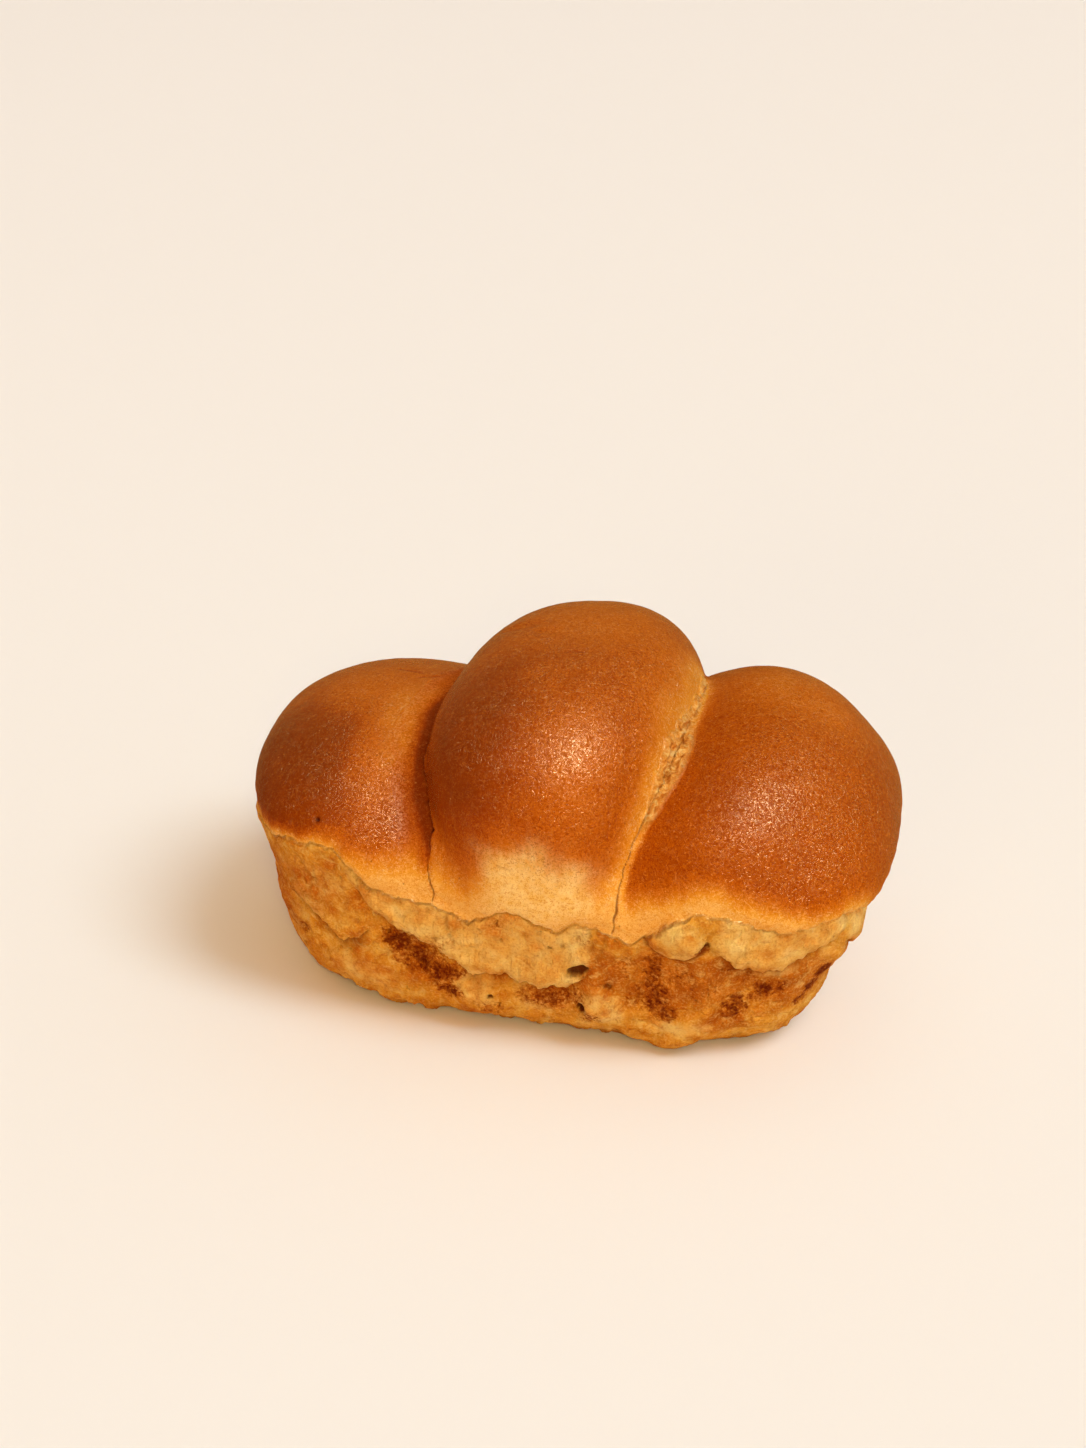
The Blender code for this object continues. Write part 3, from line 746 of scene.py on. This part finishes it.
def side_grain(points, around, skin, patterns):
    """Lumps, grain, crumb and ridges of the side, and pleats of its smooth skin."""
    broad, grain, crumb = patterns
    ridges = 0.35 - np.abs(lumps(points, RIDGE_LENGTH, 11))
    flat = np.stack([around / PLEAT_WIDTH, points[:, 2] / PLEAT_HEIGHT, np.zeros(len(around))], axis=1)
    rough = SIDE_GRAIN * grain + SIDE_CRUMB * crumb + RIDGE_RISE * ridges
    return SIDE_LUMP * broad + (1 - 0.55 * skin) * rough + PLEAT_RISE * skin * lumps(flat, 1, 13)


def crust_grain(points):
    """Waves and wrinkles of the domes."""
    wrinkles = lumps(points, TOP_WRINKLE_LENGTH, 17)
    return TOP_LUMP * lumps(points, TOP_LUMP_LENGTH, 1) + TOP_WRINKLE * wrinkles


def relief(points, parts):
    """How far each point stands out from the smooth loaf and hangs down, and the colours' masks."""
    _, left, middle, right, around, above = parts
    y, z = points[:, 1], points[:, 2]
    side = smooth_step(0.3, -1.2, above) * smooth_step(0, 2, z)
    wall = smooth_step(0.6, -0.8, above) * smooth_step(0, 3, z)
    foot = smooth_step(0, -2, above) * smooth_step(0.3, 1.2, z)
    crust = smooth_step(0, 1.2, above)
    broad = lumps(points, SIDE_LUMP_LENGTH, 3)
    grain = lumps(points, SIDE_GRAIN_LENGTH, 5)
    crumb = lumps(points, SIDE_CRUMB_LENGTH, 7)

    # Side
    out, droop, shade, skin = folds(around, z, side)
    bead, bead_shade, bead_skin = beads(around, z, above)
    shade = np.maximum(shade, bead_shade)
    skin = np.maximum(skin, bead_skin)
    deep, pit_shade = holes(around, z, above)
    crease = side * creases(around, z)
    out += bead - side * hollows(around, z) - deep - crease
    out += foot * nubs(around, z, 0.8 * crumb)
    out += wall * side_grain(points, around, skin, (broad, grain, crumb))

    # Domes
    mark, red = marks(points)
    dent, small_pit_shade = dents(points)
    out += crust * (crust_grain(points) - mark) - dent

    # Valleys: the torn strip swells out of the right-hand one
    beside = (middle - right) / 2 + 0.5 * broad + 0.4 * grain
    strip = crust * torn_strip(y, beside, grain)
    fibres = lumps(points * TEAR_STRETCH, TEAR_FIBRE, 9)
    stray = np.interp(z, *np.array(LEFT_CRACK).T) + 0.6 * broad + 0.25 * grain
    left_gap = (left - middle) / 2 + stray
    crack, crack_shade = cracks(y, above, left_gap, beside - RIGHT_CRACK)
    # Painted shade on the left bun beside its valley, and where its gloss is dulled
    painted_shade, dull = left_valley(y, above, left_gap)
    out += strip * (TEAR_RISE + TEAR_ROUGHNESS * fibres) + crust * crack

    down = LIP_DROOP * crust * np.exp(-np.maximum(above, 0) / 1.2) * smooth_step(26, 27, z)
    wobble = 0.45 * grain + 0.35 * broad + 0.3 * crumb
    masks = {
        "above": above,
        "side": smooth_step(0.25, -0.25, above),
        "skin": skin,
        # Painted shade under the folds and beads
        "fold_shade": shade,
        # Painted shade in the holes, pores and pits
        "pit_shade": np.maximum(pit_shade, small_pit_shade),
        # How deep the creases are, for painted shade in them
        "crease": np.clip(crease / 0.5, 0, 1),
        # Painted shade in the wrinkles and scratches
        "mark": red * crust,
        "tear": strip,
        # Painted shade in the cracks of the valleys
        "crack_shade": crust * crack_shade,
        "caramel": spots(around, z, CARAMEL, wobble),
        "pale": spots(around, z, PALE, 0.5 * wobble),
        "tan": spots(around, z, TAN, 0.6 * wobble),
        # Browning, with painted shade and painted light on the domes and the left bun's painted shade by
        # its valley
        "brown_and_painted_light": browning_and_painted_light(points, around, above) + crust * painted_shade,
        # Painted shade towards the bottom edge
        "foot": smooth_step(5, 0.5, z + 1.5 * broad),
        "gold": golden_band(y, beside),
        "valley": crust * dull,
        "thin": crust * thin_wash(above, beside),
        "patch": crust * flour(points),
    }
    return out, down + FOLD_DROOP * droop, masks


def new_object(name, data):
    """An object in the scene that holds a mesh, a camera or a lamp."""
    made = bpy.data.objects.new(name, data)
    bpy.context.scene.collection.objects.link(made)
    return made


def read_points(mesh):
    flat = np.empty(len(mesh.vertices) * 3)
    mesh.vertices.foreach_get("co", flat)
    return flat.reshape(-1, 3) / MM


def write_points(mesh, points):
    mesh.vertices.foreach_set("co", (points * MM).astype(np.float32).ravel())
    mesh.update()


def rough_shape():
    """Ellipsoids and a tapered block in one mesh, close to the loaf before it is settled."""
    shape = bmesh.new()
    for bun in BUNS.values():
        place = Matrix.Translation(Vector(bun["middle"]) * MM)
        turn = Matrix.Rotation(math.radians(bun["turn"]), 4, "Z")
        lean = Matrix.Rotation(math.radians(bun["lean"]), 4, "Y")
        size = Matrix.Diagonal(Vector([h * MM for h in bun["half"]] + [1]))
        bmesh.ops.create_uvsphere(shape, u_segments=48, v_segments=24, radius=1,
                                  matrix=place @ turn @ lean @ size)
    turn = Matrix.Rotation(math.radians(BASE_TURN), 3, "Z")
    for vert in bmesh.ops.create_cube(shape, size=2)["verts"]:
        half, height = (BASE_HALF_TOP, BLOCK_HEIGHT) if vert.co.z > 0 else (BASE_HALF_BOTTOM, 0)
        half = Vector(half) - Vector(BLOCK_INSET)
        corner = turn @ Vector((vert.co.x * half.x, vert.co.y * half.y, height))
        vert.co = (corner + Vector((*BASE_MIDDLE, 0))) * MM
    mesh = bpy.data.meshes.new("rough")
    shape.to_mesh(mesh)
    shape.free()
    return mesh


def remeshed(mesh, voxel):
    """One closed skin round everything in the mesh, with evenly sized faces."""
    helper = new_object("helper", mesh)
    skin = helper.modifiers.new("skin", "REMESH")
    skin.mode = "VOXEL"
    skin.voxel_size = voxel * MM
    graph = bpy.context.evaluated_depsgraph_get()
    result = bpy.data.meshes.new_from_object(helper.evaluated_get(graph))
    bpy.data.objects.remove(helper)
    return result


def near_detail(points, parts):
    """Which points lie on the torn strip, a crack, a mark or a small dent."""
    _, left, middle, right, _, above = parts
    y, z = points[:, 1], points[:, 2]
    beside = (middle - right) / 2
    strip = (beside > STRIP_SPAN[0]) & (beside < STRIP_SPAN[1]) & (y < TEAR[0][0]) & (y > STRIP_FRONT)
    crack = np.minimum(np.abs(left - middle) / 2, np.abs(beside)) < SEAM_REACH
    chosen = (strip | crack) & (above > 0)
    for first, last, half_width, _, _ in MARKS:
        chosen |= from_line(points, first, last) < half_width + MARK_REACH
    for centre, half, _ in DENTS:
        if max(half) < PIT_SIZE:
            chosen |= np.linalg.norm(points - centre, axis=1) < PIT_REACH
    return chosen & (z > LOWEST_DETAIL)


def cut_finer(mesh, detail_only):
    """Cuts the faces of the side, or those of the small details, in four."""
    points = read_points(mesh)
    parts = loaf(points)
    above = parts[-1]
    chosen = near_detail(points, parts)
    if not detail_only:
        chosen |= (above < 1.5) & (points[:, 2] > 0.5)
    chosen = chosen.tolist()
    shape = bmesh.new()
    shape.from_mesh(mesh)
    shape.verts.ensure_lookup_table()
    faces = [f for f in shape.faces if any(chosen[v.index] for v in f.verts)]
    edges = list({e for f in faces for e in f.edges})
    bmesh.ops.subdivide_edges(shape, edges=edges, cuts=1, use_grid_fill=True)
    shape.to_mesh(mesh)
    shape.free()


def crust_mesh(box):
    """The fine mesh with its masks, fitted to the solid's box, and the shift that centred it."""
    mesh = remeshed(rough_shape(), ROUGH_VOXEL)
    write_points(mesh, settle(read_points(mesh), ROUGH_ROUNDS))
    mesh = remeshed(mesh, FINE_VOXEL)
    write_points(mesh, settle(read_points(mesh), FINE_ROUNDS))
    for detail_only in (False, True):
        cut_finer(mesh, detail_only)
        write_points(mesh, settle(read_points(mesh), CUT_ROUNDS))
    points = read_points(mesh)
    gradient = slope(points)
    normal = gradient / np.maximum(np.linalg.norm(gradient, axis=1), 1e-6)[:, None]
    out, down, masks = relief(points, loaf(points))
    points = points + normal * out[:, None]
    points[:, 2] = np.maximum(points[:, 2] - down, 0)
    low, high = points.min(axis=0), points.max(axis=0)
    shift = np.array([(low[0] + high[0]) / 2, (low[1] + high[1]) / 2, low[2]])
    points -= shift
    box_low, box_high = np.array(box) / MM
    points *= np.minimum((box_high - box_low) / (high - low), 1)
    points[:, :2] += (box_low + box_high)[:2] / 2
    write_points(mesh, points)
    for name, values in masks.items():
        layer = mesh.attributes.new(name, "FLOAT", "POINT")
        layer.data.foreach_set("value", values.astype(np.float32))
    mesh.shade_smooth()
    return mesh, shift


def linear(red, green, blue):
    """A colour given as it looks on screen, 0 to 255, as the shader wants it."""
    parts = []
    for value in (red, green, blue):
        value /= 255
        parts.append(value / 12.92 if value <= 0.04045 else ((value + 0.055) / 1.055) ** 2.4)
    return (*parts, 1)


def feed(tree, socket, value):
    """Links an input to another node's output, or sets it to a plain value."""
    if isinstance(value, bpy.types.NodeSocket):
        tree.links.new(value, socket)
    else:
        socket.default_value = value


def new_node(tree, kind, inputs=(), **settings):
    """A shader node with its settings, and its inputs fed by name or number."""
    node = tree.nodes.new("ShaderNode" + kind)
    for name, value in settings.items():
        setattr(node, name, value)
    for name, value in dict(inputs).items():
        feed(tree, node.inputs[name], value)
    return node


class Graph:
    """Short names for building a material's nodes. Sizes are in millimetres."""

    def __init__(self, material):
        material.use_nodes = True
        self.tree = material.node_tree
        self.place = self.add("TexCoord").outputs["Object"]

    def add(self, kind, inputs=(), **settings):
        return new_node(self.tree, kind, inputs, **settings)

    def shade(self, name, value):
        """Feeds one of the shader's inputs."""
        feed(self.tree, self.tree.nodes["Principled BSDF"].inputs[name], value)

    def mask(self, name):
        return self.add("Attribute", attribute_name=name).outputs["Fac"]

    def moved(self, **change):
        """The place on the loaf, shifted or stretched."""
        return self.add("Mapping", {"Vector": self.place, **change}).outputs["Vector"]

    def noise(self, size, detail=2, roughness=0.5, distortion=0, place=None):
        inputs = {"Vector": self.place if place is None else place, "Scale": 1 / (size * MM),
                  "Detail": detail, "Roughness": roughness, "Distortion": distortion}
        return self.add("TexNoise", inputs).outputs["Fac"]

    def streaks(self, width):
        """Upright streaks, five times as long as they are wide."""
        return self.noise(width, place=self.moved(Scale=(1, 1, 0.2)))

    def wrinkles(self, size):
        """1 along short thin curved lines and 0 away from them."""
        off_line = self.math("ABSOLUTE", self.math("SUBTRACT", self.noise(size, 1, 0.5, 0.8), 0.5))
        here = self.ramp(self.noise(1.7 * size, 1), 0.42, 0.56)
        return self.times(self.ramp(off_line, 0.04, 0), here)

    def cells(self, size, shift=0):
        """Distance from the nearest of many scattered points."""
        inputs = {"Vector": self.moved(Location=(shift, shift, shift)), "Scale": 1 / (size * MM)}
        return self.add("TexVoronoi", inputs).outputs["Distance"]

    def granules(self, size):
        """A random value for each small grain."""
        node = self.add("TexVoronoi", {"Vector": self.place, "Scale": 1 / (size * MM)})
        return self.add("SeparateColor", {"Color": node.outputs["Color"]}).outputs["Red"]

    def math(self, operation, a, b=0):
        return self.add("Math", {0: a, 1: b}, operation=operation).outputs[0]

    def plus(self, a, b):
        return self.math("ADD", a, b)

    def times(self, a, b):
        return self.math("MULTIPLY", a, b)

    def most(self, a, b):
        return self.math("MAXIMUM", a, b)

    def centred(self, value, amount):
        """A 0 to 1 pattern as a change of up to half the amount either way."""
        return self.times(self.math("SUBTRACT", value, 0.5), amount)

    def ramp(self, value, low, high, out_low=0, out_high=1):
        inputs = {"Value": value, "From Min": low, "From Max": high, "To Min": out_low, "To Max": out_high}
        return self.add("MapRange", inputs, interpolation_type="SMOOTHSTEP").outputs["Result"]

    def colours(self, value, stops):
        node = self.add("ValToRGB", {"Fac": value})
        elements = node.color_ramp.elements
        while len(elements) < len(stops):
            elements.new(0.5)
        for element, (position, colour) in zip(elements, stops):
            element.position = position
            element.color = linear(*colour)
        return node.outputs["Color"]

    def mix(self, amount, a, b):
        inputs = {0: amount, 6: a, 7: b}
        return self.add("Mix", inputs, data_type="RGBA", clamp_factor=True).outputs[2]

    def stain(self, colour, value, low, high, most, tint):
        """The colour, with up to the most of a tint where the value goes from low to high."""
        return self.mix(self.ramp(value, low, high, 0, most), colour, tint)

    def bump(self, height, distance, before=None):
        node = self.add("Bump", {"Height": height, "Distance": distance * MM, "Strength": 1})
        if before is not None:
            feed(self.tree, node.inputs["Normal"], before)
        return node.outputs["Normal"]


def flecked(g, crust, brown_and_painted_light, pebbles, wrinkles):
    """Short light wrinkles all over the glaze, dark pores between them, and sparse pale and dark flecks."""
    glazed = g.ramp(brown_and_painted_light, 0.1, 0.8)
    plain = g.ramp(brown_and_painted_light, 0.9, 1.4, 1, 0.35)
    for amount, on_pale, on_brown in (
        (g.ramp(pebbles, 0.50, 0.66, 0, 0.5), (250, 194, 112), (214, 110, 6)),
        (g.times(wrinkles, 0.36), (252, 206, 136), (230, 136, 44)),
        (g.ramp(pebbles, 0.50, 0.36, 0, 0.55), (208, 112, 24), (126, 38, 1)),
    ):
        tint = g.mix(glazed, linear(*on_pale), linear(*on_brown))
        crust = g.mix(g.times(amount, plain), crust, tint)
    crust = g.stain(crust, g.cells(2.3), 0.10, 0.04, 0.35, linear(232, 156, 80))
    return g.stain(crust, g.cells(3.7, 7), 0.08, 0.03, 0.5, linear(110, 40, 8))


def crust_colour(g, fine, broad, patchy, pebbles, wrinkles):
    """Domes: pale gold over the lip, then golden, then deep brown, with painted shade and painted light in
    places, a floury patch, and marks and cracks darkened with painted shade.
    """
    brown_and_painted_light = g.times(g.mask("brown_and_painted_light"), g.math("SUBTRACT", 1, g.times(g.mask("gold"), 0.8)))
    for pattern, amount in ((broad, 0.3), (patchy, 0.2), (fine, 0.16)):
        brown_and_painted_light = g.plus(brown_and_painted_light, g.centred(pattern, amount))
    crust = g.colours(g.math("DIVIDE", brown_and_painted_light, 1.5), (
        (0.00, (238, 170, 82)), (0.10, (230, 150, 44)), (0.20, (216, 126, 22)), (0.32, (201, 105, 12)),
        (0.45, (186, 88, 8)), (0.66, (167, 72, 5)), (0.80, (148, 58, 4)), (1.00, (125, 46, 2)),
    ))
    floury = g.colours(g.noise(1.8, 3, 0.6), ((0.35, (237, 182, 96)), (0.65, (249, 212, 142))))
    edge = g.plus(g.centred(g.streaks(1.3), 0.5), g.centred(fine, 0.2))
    crust = g.stain(crust, g.plus(g.mask("patch"), edge), 0, 1, 0.85, floury)
    crust = flecked(g, crust, brown_and_painted_light, pebbles, wrinkles)
    # Painted shade in the wrinkles and scratches
    crust = g.mix(g.times(g.mask("mark"), 0.7), crust, linear(140, 44, 10))
    # Painted shade in the cracks of the valleys
    crust = g.stain(crust, g.mask("crack_shade"), 0.3, 1, 0.75, linear(104, 36, 3))
    torn = g.colours(g.noise(1.2, 4, 0.7, 0.6), (
        (0.28, (136, 56, 8)), (0.38, (212, 124, 42)), (0.50, (230, 152, 66)), (0.63, (246, 194, 114)),
    ))
    return g.mix(g.mask("tear"), crust, torn)


def mottled(g, side, grain):
    """The side with darker and lighter mottles and grains, and fewer dark ones on its smooth skin."""
    mottles = g.noise(2.4, 4, 0.65, 0.6)
    uneven = g.ramp(g.mask("skin"), 0.1, 0.9, 1, 0.3)
    side = g.mix(g.times(g.ramp(mottles, 0.50, 0.68, 0, 0.52), uneven), side, linear(190, 84, 9))
    side = g.stain(side, mottles, 0.50, 0.32, 0.5, linear(253, 202, 112))
    side = g.stain(side, grain, 0.50, 0.68, 0.3, linear(196, 90, 10))
    return g.stain(side, grain, 0.50, 0.34, 0.25, linear(252, 200, 110))


def caramelised(g, side, fine, grain):
    """The side with its burnt caramel, which is speckled."""
    caramel = g.mask("caramel")
    speckle = g.plus(g.centred(fine, 1.2), g.centred(grain, 0.8))
    speckle = g.plus(speckle, g.centred(g.granules(0.6), 0.45))
    burnt = g.plus(caramel, g.times(speckle, g.ramp(caramel, 0, 0.35)))
    side = g.stain(side, burnt, 0, 0.8, 0.85, linear(176, 82, 8))
    return g.stain(side, burnt, 0.45, 1.2, 0.95, linear(100, 26, 1))


def side_colour(g, fine, broad, patchy, grain):
    """Side: smooth pale skin over golden to tan crumb, with burnt caramel, and painted shade under the
    folds, in the creases, towards the bottom and in the crack under the crust's edge.
    """
    tone = g.plus(g.times(patchy, 0.6), g.times(broad, 0.4))
    crumb = g.colours(tone, (
        (0.36, (204, 108, 20)), (0.46, (226, 142, 38)), (0.54, (235, 161, 58)), (0.64, (244, 186, 90)),
    ))
    tan = g.colours(patchy, ((0.36, (170, 72, 5)), (0.64, (216, 118, 24))))
    crumb = g.stain(crumb, g.plus(g.mask("tan"), g.centred(patchy, 0.7)), 0.2, 0.8, 0.85, tan)
    skin = g.colours(tone, ((0.38, (228, 142, 52)), (0.5, (246, 180, 88)), (0.62, (253, 208, 126))))
    pale = g.plus(g.most(g.mask("skin"), g.mask("pale")), g.centred(fine, 0.3))
    side = mottled(g, g.stain(crumb, pale, 0.15, 0.8, 0.92, skin), grain)
    side = caramelised(g, side, fine, grain)
    # Painted shade under the folds and beads
    side = g.stain(side, g.mask("fold_shade"), 0.1, 1, 0.85, linear(130, 50, 4))
    # Painted shade in the creases
    side = g.mix(g.times(g.mask("crease"), 0.4), side, linear(150, 72, 14))
    # Painted shade, darker towards the bottom edge
    foot = g.plus(g.mask("foot"), g.centred(fine, 0.8))
    side = g.stain(side, foot, 0.1, 1.1, 0.85, linear(148, 66, 6))
    # The crack where the crust's edge meets the side, open in some places and closed in others, is
    # painted dark as the shade in it
    crack = g.times(g.ramp(g.mask("above"), -0.5, -0.1), g.ramp(patchy, 0.42, 0.6, 0.05, 0.36))
    return g.mix(crack, side, linear(150, 72, 10))


def bread_material():
    material = bpy.data.materials.new("baked crust")
    g = Graph(material)
    broad = g.noise(14)
    patchy = g.noise(4.5, 3)
    fine = g.noise(1.1, 3, 0.6)
    grain = g.noise(0.45, 2, 0.6)
    pebbles = g.noise(0.42, 2, 0.65, 1.2)
    wrinkles = g.wrinkles(1.1)
    crust = crust_colour(g, fine, broad, patchy, pebbles, wrinkles)
    colour = g.mix(g.mask("side"), crust, side_colour(g, fine, broad, patchy, grain))
    # Painted shade in the holes, pores and pits
    g.shade("Base Color", g.stain(colour, g.mask("pit_shade"), 0.3, 0.9, 0.9, linear(84, 20, 3)))

    # Gloss: egg-washed on the domes, dull on the side
    dull = g.mask("side")
    for name in ("patch", "tear", "valley"):
        dull = g.most(dull, g.mask(name))
    g.shade("Roughness", g.plus(g.ramp(dull, 0, 1, 0.21, 0.7), g.centred(fine, 0.12)))
    sparkle = g.plus(g.ramp(pebbles, 0.45, 0.59, 0.03, 0.52), g.times(wrinkles, 0.25))
    washed = g.ramp(g.most(dull, g.mask("thin")), 0, 1, 1, 0.1)
    g.shade("Specular IOR Level", g.times(sparkle, washed))
    g.shade("Specular Tint", (1, 0.88, 0.66, 1))
    g.shade("Subsurface Weight", 0.05)
    g.shade("Subsurface Radius", (0.003, 0.0012, 0.0005))
    g.shade("Subsurface Scale", 1)

    # Skin: a wrinkled, pebbled sheen on the domes, and a coarser open grain on the side
    pebbled = g.bump(g.plus(pebbles, g.times(wrinkles, 0.3)), 0.15)
    open_grain = g.plus(g.noise(2.4, 5, 0.6, 1), g.times(grain, 0.2))
    open_grain = g.plus(open_grain, g.times(g.times(g.streaks(1.1), g.mask("skin")), 0.6))
    height = g.times(g.most(g.mask("side"), g.times(g.mask("tear"), 0.8)), open_grain)
    g.shade("Normal", g.bump(height, 1.7, pebbled))
    return material


def floor_material():
    material = bpy.data.materials.new("cream floor")
    g = Graph(material)
    g.shade("Base Color", g.colours(g.noise(600, 1), ((0.3, (244, 235, 229)), (0.7, (245, 236, 230)))))
    g.shade("Roughness", 0.9)
    g.shade("Specular IOR Level", 0.1)
    return material


def direction(azimuth, elevation):
    """Unit vector to a place seen from the loaf: azimuth 0 is in front (-Y), 90 is to the right (+X)."""
    a, e = math.radians(azimuth), math.radians(elevation)
    return Vector((math.sin(a) * math.cos(e), -math.cos(a) * math.cos(e), math.sin(e)))


def aimed(towards_viewer):
    """Rotation of a camera or lamp whose back points along the given direction."""
    return towards_viewer.to_track_quat("Z", "Y").to_euler()


def add_camera(shift):
    data = bpy.data.cameras.new("camera")
    data.lens = LENS_MM
    data.sensor_width = SENSOR_MM
    data.clip_start = NEAREST_SEEN
    camera = new_object("camera", data)
    camera.location = (Vector(CAMERA_PLACE) - Vector(shift)) * MM
    camera.rotation_euler = aimed(direction(CAMERA_AZIMUTH, CAMERA_ELEVATION))
    bpy.context.scene.camera = camera


def add_lamps():
    for name, azimuth, elevation, size, power, colour, in_gloss in LAMPS:
        data = bpy.data.lights.new(name, "AREA")
        data.shape = "ELLIPSE"
        data.size, data.size_y = size
        data.energy = power
        data.color = colour
        towards = direction(azimuth, elevation)
        lamp = new_object(name, data)
        lamp.location = towards * LAMP_DISTANCE
        lamp.rotation_euler = aimed(towards)
        lamp.visible_diffuse = not in_gloss
        lamp.visible_glossy = in_gloss


def add_room():
    """A plain room that glows softly round some directions, and is warmer and dimmer in the glaze."""
    world = bpy.data.worlds.new("room")
    world.use_nodes = True
    tree = world.node_tree
    place = new_node(tree, "TexCoord").outputs["Generated"]
    light = ROOM_EVEN
    for azimuth, elevation, narrow, colour in ROOM_GLOWS:
        towards = new_node(tree, "VectorMath", {0: place, 1: direction(azimuth, elevation)},
                           operation="DOT_PRODUCT").outputs["Value"]
        front = new_node(tree, "Math", {0: towards, 1: 0}, operation="MAXIMUM").outputs[0]
        glow = new_node(tree, "Math", {0: front, 1: narrow}, operation="POWER").outputs[0]
        light = new_node(tree, "VectorMath", {0: glow, 1: colour, 2: light},
                         operation="MULTIPLY_ADD").outputs["Vector"]
    in_glaze = new_node(tree, "VectorMath", {0: light, 1: ROOM_IN_GLAZE, 2: EVEN_IN_GLAZE},
                        operation="MULTIPLY_ADD").outputs["Vector"]
    glossy = new_node(tree, "LightPath").outputs["Is Glossy Ray"]
    seen = new_node(tree, "Mix", {0: glossy, 6: light, 7: in_glaze}, data_type="RGBA")
    feed(tree, tree.nodes["Background"].inputs["Color"], seen.outputs[2])
    bpy.context.scene.world = world


def add_floor():
    mesh = bpy.data.meshes.new("floor")
    sheet = bmesh.new()
    bmesh.ops.create_grid(sheet, x_segments=1, y_segments=1, size=FLOOR_HALF)
    sheet.to_mesh(mesh)
    sheet.free()
    mesh.materials.append(floor_material())
    floor = new_object("floor", mesh)
    floor.visible_glossy = False


def corners(bounds):
    return [list(corner) for corner in bounds]


def main():
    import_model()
    cad_box = corners(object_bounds())
    mesh, shift = crust_mesh(cad_box)
    mesh.materials.clear()
    mesh.materials.append(bread_material())
    bread = new_object("baked_brioche", mesh)
    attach(bread, "root")
    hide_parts("brioche")
    add_floor()
    add_camera(shift)
    add_lamps()
    add_room()
    bpy.context.scene.view_settings.view_transform = "Standard"


main()
